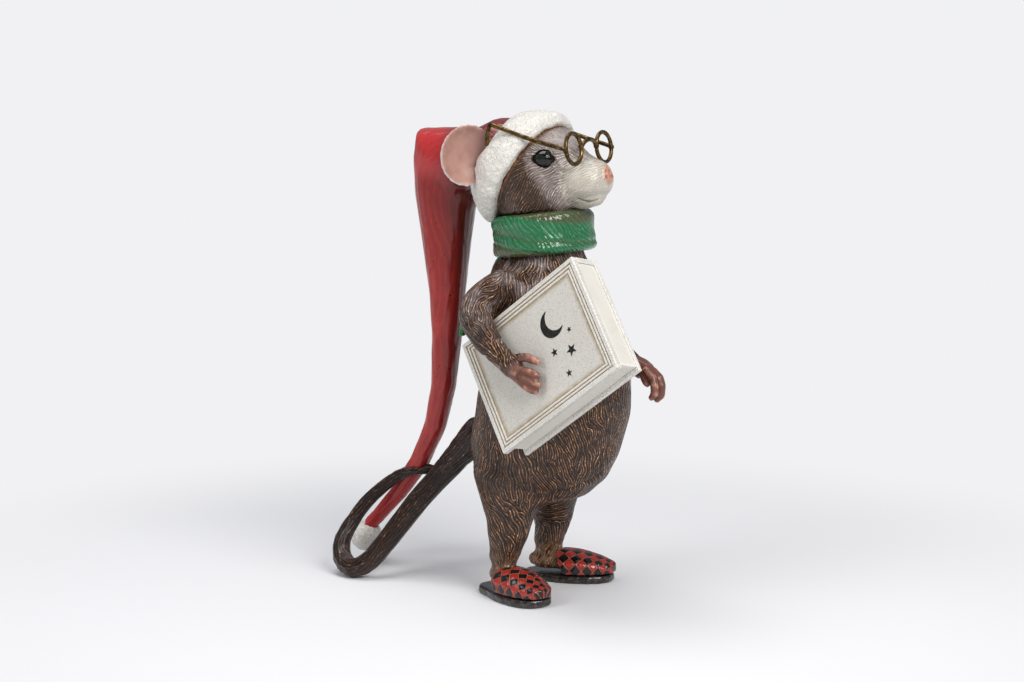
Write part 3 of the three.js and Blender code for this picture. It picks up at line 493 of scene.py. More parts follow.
wave, fine = crest(entry["Comb"]), crest(entry["Fine"])
twice = strokes.scaled(strokes.times(wave, wave), 2.0, -1.0)
share_of_twice = entry["Twice"]
second_hair = strokes.times(share_of_twice, strokes.ramp(wave, 0.3, -0.3))
wave = strokes.scaled(strokes.sum("SUBTRACT", twice, wave), share_of_twice, wave)
breaks, fleck = strokes.noise(2.6, 2.0), strokes.noise(0.5, 2.0)
line_width = strokes.times(entry["Line"], strokes.ramp(breaks, 0.36, 0.6, 0.05, 1.4))
start = strokes.scaled(line_width, -1.5, 1.0)
full = strokes.scaled(line_width, -0.5, 1.0)
line = strokes.times(strokes.ramp(wave, start, full), strokes.ramp(fleck, 0.32, 0.5, 0.5, 1.0))
dimmed = strokes.patches(1.7, 0.4, 0.62, 0.9, 0.1, detail=2.0)
on_second = strokes.times(line, second_hair)
line = strokes.scaled(on_second, strokes.times(dimmed, -1.0), line)
line = strokes.times(line, strokes.patches(9.0, 0.36, 0.58, 0.45, 1.0, detail=2.0))
sides = strokes.mix(strokes.ramp(fine, 0.0, 0.95), entry["Cut"], entry["Side"])
ridges = strokes.mix(line, sides, entry["Ridge"])
bright = strokes.times(line, strokes.patches(1.1, 0.52, 0.66, detail=2.0))
strokes.feed(leave["Color"], strokes.mix(bright, ridges, entry["Tip"]))
strokes.feed(leave["Roughness"], strokes.scaled(fleck, 0.2, strokes.ramp(line, 0.0, 1.0, 0.2, 0.1)))
height = strokes.scaled(fine, 0.25, strokes.times(wave, 0.5))
strokes.feed(leave["Height"], strokes.scaled(fleck, 0.3, height))
print("group", strokes.tree.name)


# %% A varnished material
def new_material(name):
    """A new material, with the recipe of its tree and its shader."""
    material = bpy.data.materials.new(name)
    material.use_nodes = True
    return material, Recipe(material.node_tree), material.node_tree.nodes["Principled BSDF"]


def varnished(name, build, specular, depth, coat=0.0, metallic=0.0):
    """build(recipe) gives colour, roughness and height; the constants go straight onto the shader."""
    material, recipe, shader = new_material(name)
    color, rough, height = build(recipe)
    bump = recipe.node("Bump", {"Height": height, "Distance": depth * MM, "Strength": 1.0})
    recipe.fill(shader, {
        "Base Color": color, "Roughness": rough, "Normal": bump.outputs["Normal"], "Specular IOR Level": specular,
        "Coat Weight": coat, "Coat Roughness": 0.12, "Metallic": metallic,
    })
    print("finish", name)
    return material


def wear(clay_or_piece, material):
    piece = getattr(clay_or_piece, "piece", clay_or_piece)
    piece.data.materials.clear()
    piece.data.materials.append(material)


print("materials so far", len(bpy.data.materials))

# %% [markdown]
# ## Lines through a form
#
# Arms, tail and cap follow centre lines. They are the same routes as in the solids, so a point of a piece can ask
# how far along its limb it lies and which way the limb runs there.


# %% Centre lines
def smooth_line(points, pieces=12):
    """A finer line through the points, as numbers."""
    points = np.asarray(points, dtype=float)
    ends = np.vstack([2 * points[0] - points[1], points, 2 * points[-1] - points[-2]])
    line = []
    for k in range(1, len(ends) - 2):
        a, b, c, d = ends[k - 1:k + 3]
        for t in np.linspace(0, 1, pieces, endpoint=False):
            line.append(0.5 * (2 * b + (c - a) * t + (2 * a - 5 * b + 4 * c - d) * t ** 2
                               + (3 * b - a - 3 * c + d) * t ** 3))
    return np.array(line + [points[-1]])


def beside(points, line):
    """For each point: its distance from the line, its share along it, and the line's direction there."""
    best = np.full(len(points), np.inf)
    share = np.zeros(len(points))
    way = np.zeros((len(points), 3))
    runs = np.diff(line, axis=0)
    lengths = np.linalg.norm(runs, axis=1)
    starts = np.concatenate([[0], np.cumsum(lengths)])
    for k, run in enumerate(runs):
        offset = points - line[k]
        part = np.clip(offset @ run / lengths[k] ** 2, 0, 1)
        distance = np.linalg.norm(offset - part[:, None] * run, axis=1)
        closer = distance < best
        best[closer] = distance[closer]
        share[closer] = ((starts[k] + part * lengths[k]) / starts[-1])[closer]
        way[closer] = run / lengths[k]
    return best, share, way


print("a line through 3 points has", len(smooth_line([(0, 0, 0), (1, 0, 0), (1, 1, 0)])))

# %% Where the book stands, and the arms that hold it
BOOK_CENTRE = np.array([-26.25, -29.4, 81.7])
BOOK_TURN = (
    Matrix.Rotation(math.radians(-11.6), 3, "Z")
    @ Matrix.Rotation(math.radians(10.7), 3, "Y")
    @ Matrix.Rotation(math.radians(53), 3, "X")
    @ Matrix(((0, 0, -1), (-1, 0, 0), (0, 1, 0)))
)
FORE, TOP, OUT = (np.array(BOOK_TURN.col[k]) for k in range(3))


def on_book(fore, top, out):
    return BOOK_CENTRE + fore * FORE + top * TOP + out * OUT


RIGHT_ARM = smooth_line([
    (-12.85, -13.8, 103.4), (-20.15, -4.1, 94.2), on_book(-15.4, -12.6, 4.7),
    on_book(-3.4, -8.8, 3.9), on_book(3.2, -5.9, 3.3),
])
LEFT_ARM = smooth_line([
    (21.35, -13.8, 103.4), (26.85, -15.7, 91.4), (23.85, -25.7, 82), (20.65, -38.3, 73.8), (18.05, -44.7, 72.8),
])


print("arm lines", len(RIGHT_ARM), len(LEFT_ARM))

# %% [markdown]
# ## The body
#
# Belly, chest, legs and both arms look like one casting, so they are rebuilt as one form here and only the paws
# stay apart, because fingers need a finer mesh. The plain arms end at the wrist with a cut. The fold under the
# belly and the hollows behind the heels are pressed in first. The hair runs down the body in waves, rises towards
# the front on the far thigh, and follows the arms.


# %% Cut the arms at the wrist
def place_on(line, share):
    """The place at a share of a line's length, and the line's direction there."""
    runs = np.diff(line, axis=0)
    reached = np.cumsum(np.linalg.norm(runs, axis=1))
    k = int(np.searchsorted(reached, share * reached[-1]))
    return line[k], runs[k]


def arm_part(side, line, share, keep_paw):
    """An arm's mesh on one side of a plane across its wrist, with the cut closed."""
    place, way = place_on(line, share)
    shape = shape_of(nodes[f"arm_{side}"].data)
    merge(shape)
    bmesh.ops.bisect_plane(
        shape, geom=[*shape.verts, *shape.edges, *shape.faces], plane_co=Vector(place) * MM, plane_no=Vector(way),
        clear_inner=keep_paw, clear_outer=not keep_paw,
    )
    bmesh.ops.holes_fill(shape, edges=[edge for edge in shape.edges if edge.is_boundary])
    return mesh_of(shape, f"arm_part_{side}")


ARMS = (("right", RIGHT_ARM, 0.72, 0.9), ("left", LEFT_ARM, 0.7, 0.8))
upper_arms = [arm_part(side, line, share, False) for side, line, share, wrist in ARMS]
print("upper arms", [len(mesh.polygons) for mesh in upper_arms])

# %% Body
DOWN = np.array([0.0, 0.0, -1.0])
MIDLINE = 4.25
SIDES = (("right", -1), ("left", 1))
HAIR_LIFT = 0.13
SLIPPERS = {"right": ((-11.27, -12.1), -22), "left": ((20.15, -14.12), 22)}


def foot_ways(toe_out):
    """Where a foot points and what lies across it, on the floor."""
    turn = math.radians(toe_out)
    return np.array([math.sin(turn), -math.cos(turn)]), np.array([math.cos(turn), math.sin(turn)])


body = cast_copy("torso", "fur_body", 1.04, 46, swell=0.42, more=upper_arms, also=("arm_right", "arm_left"))

# %% Belly fold
FOLD = smooth_line([
    (-9.5, -17, 31.5), (-8.9, -22.1, 33.9), (-8.1, -27.5, 36.3), (-6.5, -31, 38.3), (-3.8, -33.8, 39.8),
    (1.3, -36.3, 42.1), (4.5, -37.1, 43.2), (11.1, -36, 43.3),
])
distance, share, way = beside(body.points, FOLD)
nearest = np.stack([np.interp(share, np.linspace(0, 1, len(FOLD)), column) for column in FOLD.T], 1)
above = (body.points - nearest) @ np.array([0.0, -0.35, 0.94])
ends = gently(share, 0.02, 0.3) * gently(share, 0.99, 0.8)
body.push(ends * (0.7 * gently(distance, 8, 1.5) * gently(above, -0.2, 0.6)
                  - 0.8 * gently(distance, 3.4, 0.5) * gently(above, 0.3, -0.4)))
print("points on the fold", int((distance < 3).sum()))

# %% Heels
x, y, z = body.points.T
for centre, toe_out in SLIPPERS.values():
    ahead, across = foot_ways(toe_out)
    flat = body.points[:, :2] - centre
    behind = gently(flat @ ahead, 0.0, -5.0) * gently(np.linalg.norm(flat, axis=1), 15, 12)
    body.push(-0.9 * behind * gently(z, 14, 9) * gently(z, 1.5, 4.0))
    print("heel points", int((behind > 0.5).sum()))

# %% The way of the hair
leg_share = gently(z, 46, 36) * gently(z, 14, 26) * gently(x, 5, 9)
heading = DOWN * (1 - 1.4 * leg_share)[:, None] + leg_share[:, None] * np.array([0.45, -0.8, 0.0])
belly_share = gently(z, 84, 70) * gently(z, 26, 38)
heading += (belly_share * 0.3)[:, None] * np.array([0.35, -0.6, 0.0])
bare = np.zeros(body.size)
for side, line, share, wrist in ARMS:
    distance, part, way = beside(body.points, line)
    on_arm = gently(distance, 9.0, 6.6) * gently(part, 0.05, 0.2)
    heading = heading * (1 - on_arm)[:, None] + way * on_arm[:, None]
    bare = np.maximum(bare, gently(part, wrist, wrist + 0.1) * on_arm)
heading = swirled(body, heading, 15.0, 0.6, 1)
heading = swirled(body, heading, 3.4, 0.6, 2)
print("points with bare skin", int((bare > 0.5).sum()))

# %% Hair and the notes for the paint
hairs = comb_both(body, heading, 1.75, 1.35, 3)
body.note_relief(24, 0.5)
body.push(HAIR_LIFT * (hairs - 0.5) * (1 - bare))
body.note("bare", bare)
body.note("feet", gently(z, 16, 9))
# Painted sheen mixed with wear: the shoulders and upper arms that face up and towards the front lamps get a pale
# mauve patch.
toward_the_lamps = gently(body.normals() @ np.array([-0.75, -0.3, 0.6]), 0.1, 0.8)
body.note("rubbed", gently(ripple(body.points, 6.0, 5), -0.6, 0.5) * gently(z, 86, 95) * toward_the_lamps)
print("hair stands", round(float(np.ptp(hairs)) * HAIR_LIFT, 3), "mm")


# %% Fur finish
def fur_paint(recipe):
    """Near-black cuts with copper lines, mauve wear and painted sheen on the shoulders, golden brown at the feet
    with painted pale glints, pink at the paws.
    """
    out = recipe.combed("160e0a", "3a261a", "9c6b47", "dba678", 0.36)
    cloud = recipe.noise(3.0)
    # Pale mauve wear, with painted sheen where the body's mask faces the lamps.
    wear_and_sheen = recipe.times(recipe.noted("rubbed"), recipe.ramp(cloud, 0.3, 0.7))
    worn = recipe.combed("5f524f", "867879", "a8978f", "d6c8bd", 0.4)
    color = recipe.mix(wear_and_sheen, out["Color"], worn["Color"])
    bronze_and_glints = recipe.times(recipe.noted("feet"), recipe.ramp(cloud, 0.36, 0.58))
    color = recipe.tint(color, bronze_and_glints, "7e5f45")
    # Painted glints: small pale specks on the golden-brown ankles stand in for highlights.
    bronze_and_glints = recipe.times(bronze_and_glints, recipe.patches(0.9, 0.6, 0.66))
    color = recipe.tint(color, bronze_and_glints, "c9b8a2")
    skin = recipe.washed("6f473b", "140d0a", "cf957f", 1.0, 0.95, 400.0)
    bare = recipe.noted("bare")
    color = recipe.mix(bare, color, skin["Color"])
    return color, out["Roughness"], recipe.times(out["Height"], recipe.sum("SUBTRACT", 1.0, bare))


fur = varnished("fur_brown", fur_paint, specular=0.42, depth=0.2)
wear(body, fur)

# %% Paws
for side, line, share, wrist in ARMS:
    paw = cast_copy(f"arm_{side}", f"paw_{side}", 0.44, 9, only=arm_part(side, line, share - 0.03, True))
    distance, part, way = beside(paw.points, line)
    bare = gently(part, wrist, wrist + 0.1)
    heading = swirled(paw, way, 9.0, 0.5, 11)
    hairs = comb_both(paw, heading, 1.7, 1.0, 12)
    paw.push(0.06 * ripple(paw.points, 2.2, 14) - 0.25 * gently(part, share + 0.03, share - 0.02))
    paw.note_relief(26, 0.32)
    paw.push(HAIR_LIFT * (hairs - 0.5) * (1 - bare))
    paw.note("bare", bare)
    paw.note("rubbed", gently(ripple(paw.points, 7.0, 15), 0.0, 0.9) * 0.7)
    paw.note("feet", np.zeros(paw.size))
    wear(paw, fur)

# %% [markdown]
# ## Tail
#
# The tail is dark and scored lengthwise, with a small step like a collar at its root. It could be a curve with a
# round section, but then it would need a mesh of its own to carve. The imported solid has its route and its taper
# already, so it is melted like the body, and the same comb scores it.

# %% Tail
TAIL_LINE = smooth_line([
    (4.25, 9.7, 50.6), (3.25, 17.1, 43.1), (0.65, 23.6, 34.9), (-2.75, 29.6, 27.2), (-6.75, 35.2, 18.6),
    (-11.25, 39.6, 10.9), (-15.25, 42.9, 5.6), (-16.95, 47.9, 3.1), (-14.35, 54.5, 6), (-10.25, 56.8, 11.4),
    (-6.25, 55.4, 16.8), (-2.25, 52.3, 23.1), (1.05, 47.3, 28.4), (3.45, 41.3, 32.9), (5.45, 35.2, 34.4),
    (6.85, 29.4, 34.8),
])
tail = cast_copy("tail", "scored_tail", 0.74, 34)
distance, share, way = beside(tail.points, TAIL_LINE)
heading = swirled(tail, way, 8.0, 0.15, 21)
hairs = comb_both(tail, heading, 1.9, 0.95, 22)
collar = 0.2 * gently(np.abs(share - 0.085), 0.02, 0.004)
tail.push(HAIR_LIFT * (hairs - 0.5) + collar + 1.3 * gently(share, 0.11, 0.02))
tail.points[:, 2] = np.maximum(tail.points[:, 2], 0.0)
tail.store()
tail.note("rubbed", gently(ripple(tail.points, 9.0, 24), 0.1, 0.8))


def tail_paint(recipe):
    """Dark, with broken copper scores and greyish worn patches."""
    out = recipe.combed("120c0a", "2b1c16", "4f3527", "9a6a46", 0.3)
    worn = recipe.times(recipe.noted("rubbed"), recipe.patches(2.0, 0.45, 0.7, 0.0, 0.25))
    return recipe.tint(out["Color"], worn, "6f6260"), out["Roughness"], out["Height"]


wear(tail, varnished("tail_brown", tail_paint, specular=0.35, depth=0.1))

# %% [markdown]
# ## The head
#
# The face is one casting too. The nose pad, nostrils, mouth line and eyelids are carved before the hair, and the
# hair runs back from the nose. Each of them is a soft mound measured on a face folded over at its middle, so both
# sides come from one set of numbers. The paint goes from a white muzzle over a grey cheek to dark brown at the
# back, and notes on the points say where one colour gives way to the next.

# %% Head
HEAD = np.array([4.25, -9.3, 137.2])
EYES = {side: HEAD + [sign * 10.6, -10.6, 3.6] for side, sign in SIDES}
EYE_LOOKS = {side: np.array([sign * 0.93, -0.36, 0.05]) for side, sign in SIDES}
NOSE = HEAD + [0, -28.2, -0.4]
BAND_CENTRE = HEAD + [0, 0.3, -1.5]
BAND_TILT = math.radians(31)
BAND_AXIS = np.array([0, -math.cos(BAND_TILT), -math.sin(BAND_TILT)])

head = cast_copy("head", "mouse_head", 0.62, 46)
x, y, z = head.points.T
mirrored = np.stack([MIDLINE + np.abs(x - MIDLINE), y, z], 1)


def mound(centre, size, edge=1.1, top=0.6):
    """1 inside an egg shape on both sides of the face, and 0 outside."""
    return gently(np.linalg.norm((mirrored - centre) / np.asarray(size, dtype=float), axis=1), edge, top)


# %% Nose, mouth and chin
nose_pad = mound(NOSE + [0, 0.4, -0.8], (2.9, 3.4, 3.0), 1.1, 0.8)
nostril = mound(NOSE + [1.7, 1.2, -1.4], (0.7, 1.6, 0.6), 1.1, 0.5)
MOUTH = smooth_line([(6.4, -33.8, 129.0), (8.0, -31.9, 128.4), (9.6, -29.4, 128.6)])
mouth = gently(beside(mirrored, MOUTH)[0], 0.6, 0.15)
chin = mound((5.2, -31.5, 126.6), (5.0, 5.5, 3.6), 1.25, 0.3)
whisker_pad = mound((8.4, -31.5, 133.0), (5.2, 6.5, 4.6), 1.2, 0.2)
head.push(0.9 * whisker_pad + 1.6 * chin + 0.35 * nose_pad - 0.6 * nostril - 0.45 * mouth)
print("points on the mouth", int((mouth > 0.5).sum()))

# %% Eyelids: a dish round each bead and a rim round the dish
LID_HALF_LONG, LID_HALF_HIGH, LID_BEND = 3.5, 2.05, 0.03
BEAD_DEPTH, LID_DEPTH = 2.55, 3.3
lid = np.zeros(head.size)
for side, centre in EYES.items():
    look = EYE_LOOKS[side]
    level = np.cross([0, 0, 1], look)
    level /= np.linalg.norm(level)
    offset = head.points - centre
    flat, rise, depth = offset @ level, offset @ np.cross(look, level), offset @ look
    opening = np.hypot(flat / LID_HALF_LONG, rise / (LID_HALF_HIGH - LID_BEND * flat ** 2).clip(0.9))
    round_off = np.hypot(flat / 1.15, rise)
    under = np.sqrt((BEAD_DEPTH ** 2 - round_off ** 2).clip(0.0))
    over = np.sqrt((LID_DEPTH ** 2 - round_off ** 2).clip(0.0))
    share = gently(opening, 0.96, 1.08)
    goal = (1 - share) * under + share * np.maximum(depth, over)
    near = (round_off < LID_DEPTH) & (depth > -0.5)
    head.points += np.outer(np.where(near, goal - depth, 0.0), look)
    lid = np.maximum(lid, near * gently(np.abs(opening - 1.05), 0.12, 0.03))
head.store()
head.note_relief(18, 0.35)
print("points on the lids", int((lid > 0.5).sum()))

# %% Hair of the face and the notes for the paint
band_form = surface_of("nightcap_band")
band_gap = np.array([band_form.find_nearest(Vector(place) * MM)[3] for place in head.points]) / MM
heading = unit(head.points - (NOSE + [0, 2, 1])) + DOWN * (0.5 * gently(z, 148, 134))[:, None]
heading = swirled(head, swirled(head, heading, 11.0, 0.45, 31), 3.5, 0.35, 32)
hairs = comb_both(head, heading, 1.5, 0.8, 33)
muzzle = mound((7.0, -32.0, 133.5), (9.5, 10.5, 8.5), 1.4, 0.45)
white = np.maximum(muzzle, mound((6.0, -32.0, 126), (5, 6, 4), 1.3, 0.5))
brown = gently(y + 15.1 + 0.49 * (140.8 - z), -4.5, 4.0) * gently(z, 151, 144)
head.push(0.11 * (hairs - 0.5) * (1 - 0.75 * white) * (1 - lid))
head.note("white", white)
head.note("brown", brown)
head.note("edge", gently(band_gap, 2.2, 1.3))
head.note("pale", mound((8.0, -21.0, 146.0), (7.0, 7.0, 5.0), 1.3, 0.3))
head.note("nose", nose_pad)
head.note("dark", np.clip(nostril + 0.8 * mouth + 0.6 * lid, 0, 1))
print("head carved")


# %% Face finish
def face_paint(recipe):
    """Brown with copper lines at the back, mauve grey on cheek and brow, cream on the muzzle, a pink nose."""
    back = recipe.combed("1c130e", "3d2a1d", "7f5539", "bb8e68", 0.3)
    cheek = recipe.combed("62554f", "8d7f7a", "aca19a", "e0dad4", 0.4)
    front = recipe.combed("a9a295", "bfb9ae", "cac4b9", "dcd8cf", 0.4)
    cloud = recipe.scaled(recipe.noise(1.2), 1.0, -0.5)
    brown = recipe.ramp(recipe.plus(recipe.noted("brown"), cloud), 0.2, 0.8)
    white = recipe.ramp(recipe.plus(recipe.noted("white"), cloud), 0.1, 0.9)
    color = recipe.mix(brown, cheek["Color"], back["Color"])
    pale = recipe.times(recipe.noted("pale"), recipe.patches(0.9, 0.3, 0.65, 0.2, 0.75))
    color = recipe.tint(color, pale, "b3a8a5")
    color = recipe.mix(white, color, front["Color"])
    dirt = recipe.patches(0.45, 0.6, 0.68, detail=2.0)
    dirt = recipe.times(dirt, recipe.patches(4.0, 0.5, 0.62))
    color = recipe.tint(color, recipe.times(dirt, 0.5), "8f7f6a")
    edge = recipe.mix(recipe.patches(0.6, 0.4, 0.6), paint("33200f"), paint("8a5a34"))
    color = recipe.mix(recipe.noted("edge"), color, edge)
    pink = recipe.mix(recipe.patches(0.9, 0.35, 0.65), paint("a86f5a"), paint("c99a83"))
    pink = recipe.tint(pink, recipe.patches(0.5, 0.6, 0.66, 0.0, 0.8), "5e4030")
    color = recipe.mix(recipe.noted("nose"), color, pink)
    color = recipe.tint(color, recipe.times(recipe.noted("dark"), 0.85), "3a2a20")
    soft = recipe.scaled(white, -0.6, 1.0)
    return color, back["Roughness"], recipe.times(back["Height"], soft)


wear(head, varnished("face_paint", face_paint, specular=0.5, depth=0.12))


# %% [markdown]
# ## Eyes
#
# Each eye is a glossy black bead that sits in the dish between the lids. A painted eye on the head's own skin
# would be simpler, but it would keep the head's bumps. A ball of its own is smooth, so the light makes one small
# clear spot on it, and it is made a little longer towards the corners of the eye.


# %% Eyes
def eye_paint(recipe):
    depth = recipe.noise(1.4, 2.0)
    color = recipe.mix(recipe.ramp(depth, 0.45, 0.7), paint("070807"), paint("1b2117"))
    return color, recipe.patches(0.8, 0.3, 0.8, 0.03, 0.07), depth


bead = varnished("eye_gloss", eye_paint, specular=0.5, depth=0.004)
for side, centre in EYES.items():
    shape = bmesh.new()
    bmesh.ops.create_icosphere(shape, subdivisions=4, radius=2.95 * MM)
    level = Vector((0, 0, 1)).cross(Vector(EYE_LOOKS[side])).normalized()
    for vert in shape.verts:
        vert.co += level * (vert.co.dot(level) * 0.17)
    bmesh.ops.translate(shape, verts=shape.verts, vec=Vector(centre) * MM)
    eye = smooth_piece(shape, f"bead_eye_{side}")
    dress(eye, f"eye_{side}")
    wear(eye, bead)

# %% [markdown]
# ## Nightcap, ears and pompom
#
# The cap looks like plush but is cast: its band and its pompom are stippled all over with a stiff brush, and the
# long bag is smooth, with lengthwise brush streaks. Particles or loose fibres would make real plush of it, so the
# stipple is carved from noise instead. The ears are thin and dished, with mottled paint, painted shade in the
# dish and a pale rim.


# %% Band and pompom
def pebble_paint(recipe):
    """Off-white, with fine stippled pebbles, a little darker between them."""
    color, rough, height = recipe.washed_coat("d9d6cf", "b8b4ab", "eceae6", 0.45, 0.4, blotch=14.0, rough=0.38)
    pebbles = recipe.patches(0.75, 0.36, 0.62, detail=2.0)
    # The pebbles make the paint a little darker between them and lighter on them.
    color = recipe.tint(color, recipe.scaled(pebbles, -0.2, 0.2), "8f8a80")
    return color, rough, recipe.scaled(pebbles, 1.2, height)


pebble = varnished("cap_white", pebble_paint, specular=0.35, depth=0.14)
for node, name, square in (("nightcap_band", "stippled_band", 0.84), ("nightcap_pompom", "stippled_pompom", 0.5)):
    plush = cast_copy(node, name, square, 20)
    plush.push(0.2 * ripple(plush.points, 5.0, 40))
    if node == "nightcap_band":
        along, outward = about_axis(plush.points, BAND_CENTRE, BAND_AXIS)
        plush.push(0.9 * gently(along, -7.0, -2.0) * gently((plush.normals() * unit(outward)).sum(1), 0.0, 0.5))
        aside = 0.7 + 1.6 * gently(np.abs(plush.points[:, 0] - MIDLINE), 2, 13)
        back = gently(along, -8.5, -15.0) * gently(plush.points[:, 2], 139, 146)
        plush.points += np.outer(back * aside, BAND_AXIS)
        plush.store()
        plush.push(0.5 * gently(plush.normals() @ BAND_AXIS, 0.6, 0.95))
    bumps = 0.6 * ripple(plush.points, 1.3, 41) + 0.6 * ripple(plush.points, 0.8, 42)
    plush.push(0.12 * bumps)
    plush.note("relief", np.clip(bumps * 0.7 + 0.1, -1, 1))
    wear(plush, pebble)

# %% Bag
BAG_LINE = smooth_line([
    (4.25, 0.1, 143), (4.25, 10.5, 140), (4.25, 17.1, 138.8), (4.25, 23.1, 134), (4.25, 23.9, 127),
    (4.25, 23.7, 112), (4.25, 23.5, 95), (4.55, 24, 80), (5.45, 26.1, 64), (6.65, 30.3, 50),
    (7.25, 37.3, 36.5), (7.25, 45.7, 25.4), (6.05, 52.3, 17.6), (4.85, 56.7, 12.8),
])
bag = cast_copy("nightcap_bag", "nightcap_tail_bag", 0.95, 130)

# %% Root, strokes and dents of the bag
way = beside(bag.points, BAG_LINE)[2]
x, y, z = bag.points.T
along, outward = about_axis(bag.points, BAND_CENTRE, BAND_AXIS)
root = (gently(z, 130, 139) * gently(y, 15, 8) * gently(along, -24.0, -15.5))[:, None]
bag.points += root * (0.12 * outward + 5.0 * gently(along, -19.0, -15.5)[:, None] * BAND_AXIS)
bag.store()
heading = swirled(bag, way, 14.0, 0.2, 51)
hairs = comb_both(bag, heading, 2.6, 1.3, 52)
dents = ripple(bag.points * [1, 1, 0.35], 2.6, 55) * gently(z, 140, 90)
bag.push(0.16 * ripple(bag.points * [1, 1, 0.3], 9.0, 54) + 0.05 * dents + 0.05 * (hairs - 0.5))
bag.note_relief(60, 0.45)
bag.note("shaded", gently(y - 0.25 * (x + 10), 24, 10) * gently(z, 10, 60))
# Painted highlight: the top of the bag, where it turns down, is painted lighter, as if lit from above.
bag.note("fold_highlight", gently(z, 131, 138))
print("bag reaches", round(float(z.min()), 1), "to", round(float(z.max()), 1), "mm")


# %% Bag finish
def bag_paint(recipe):
    """Deep red, with painted shade towards the ear and a painted highlight along the top, fine brush streaks and
    dark specks.
    """
    streaks = recipe.combed("861613", "8f1a16", "951d19", "9c231e", 0.6, 0.0)
    out = recipe.washed(streaks["Color"], "431512", "b23a38", 0.5, 0.5, 90.0)
    # Painted highlight along the top, then painted shade towards the ear.
    color = recipe.tint(out["Color"], recipe.times(recipe.noted("fold_highlight"), 0.6), "b93437")
    color = recipe.tint(color, recipe.times(recipe.noted("shaded"), 0.72), "3c1d1a")
    color = recipe.tint(color, recipe.patches(1.0, 0.72, 0.75, detail=1.0), "1c0d0b")
    rough = recipe.scaled(out["Roughness"], 0.5, 0.14)
    return color, rough, recipe.scaled(streaks["Height"], 0.6, out["Height"])


wear(bag, varnished("cap_red", bag_paint, specular=0.4, coat=0.05, depth=0.05))


# %% Ears
def ear_paint(recipe):
    """Skin colour in the dish, painted mauve shade towards the band, a pale rim."""
    out = recipe.washed("b0887a", "85605a", "cfae9f", 0.6, 0.6, 260.0)
    mottle = recipe.patches(3.2, 0.42, 0.66, 0.0, 0.5, detail=4.0)
    color = recipe.tint(out["Color"], mottle, "93695f")
    color = recipe.tint(color, recipe.noted("painted_dish_shade"), "86655f")
    color = recipe.tint(color, recipe.noted("rim"), "b7b2b4")
    return color, recipe.plus(out["Roughness"], 0.3), out["Height"]


ear_finish = varnished("ear_pink", ear_paint, specular=0.4, depth=0.05)

# %% Carve the ears
EAR_TURN, EAR_HALF_WIDE, EAR_HALF_HIGH = math.radians(32), 9.5, 9.9
for side, sign in SIDES:
    ear = cast_copy(f"ear_{side}", f"dished_ear_{side}", 0.5, 14)
    centre = np.array([MIDLINE + sign * 18, 5.7, 142.0])
    across = np.array([sign * math.cos(EAR_TURN), math.sin(EAR_TURN), 0])
    from_centre = ear.points - centre
    reach = np.hypot(from_centre @ across / EAR_HALF_WIDE, from_centre[:, 2] / EAR_HALF_HIGH)
    ear.push(0.05 * ripple(ear.points, 3.0, 61) - 0.25 * gently(reach, 0.9, 0.6))
    ear.note_relief(20, 0.3)
    ear.note("rim", gently(reach, 0.93, 0.99))
    # Painted shade: the dish is painted darker mauve towards the band, where its hollow lies in shade.
    ear.note("painted_dish_shade", gently((ear.points - centre) @ across, 1, -8) * 0.85)
    wear(ear, ear_finish)

# %% [markdown]
# ## Scarf
#
# The scarf is a thick band with a soft crease round its middle. Short gouge cuts lean across both halves, and an
# olive wash stays along its edges. A cloth simulation would give it folds that the casting doesn't have, so its
# cuts come from the comb, turned to lean. The hanging end is drawn up over the back until the collar covers it.

# %% Draw the hanging end up to the collar
SCARF_CENTRE = np.array([4.25, -13.5, 116.7])
SCARF_TILT = math.radians(6.5)
SCARF_UP = np.array([0, -math.sin(SCARF_TILT), math.cos(SCARF_TILT)])


def lay_up_to_collar(cloth):
    """Draws the upper edge of the hanging end up over the back, under the collar."""
    spot = cloth.points
    top = spot[:, 2].max()
    share = gently(spot[:, 2], top - 12, top)[:, None]
    outer = gently(cloth.normals() @ np.array([-0.47, 0.88, 0.0]), -0.3, 0.5)
    moved = spot + share * [13.0, -1.0, 111.5 - top]
    back_form = surface_of("torso")
    found = [back_form.find_nearest(Vector(place) * MM) for place in moved]
    skin, way_out = (np.array([one[k] for one in found]) for k in range(2))
    skin = skin / MM + way_out * (0.3 + 1.7 * outer)[:, None]
    cloth.points = moved * (1 - share) + skin * share
    cloth.relax(6)


print("scarf leans", round(math.degrees(SCARF_TILT), 1), "degrees")


# %% Scarf finish
def scarf_paint(recipe):
    """Green with darker and lighter gouge cuts, olive wash along the edges and in the crease."""
    cuts = recipe.combed("17603a", "1b6e42", "2a7f4f", "58a97c", 0.2, 0.0)
    out = recipe.washed(cuts["Color"], "3a3a24", "2e8a58", 0.8, 0.3, 140.0)
    edge = recipe.times(recipe.noted("edge"), recipe.patches(1.4, 0.3, 0.65, 0.6, 1.0))
    color = recipe.tint(out["Color"], edge, "47462b")
    return color, recipe.scaled(out["Roughness"], 0.6, 0.08), cuts["Height"]


green = varnished("scarf_green", scarf_paint, specular=0.6, coat=0.15, depth=0.07)

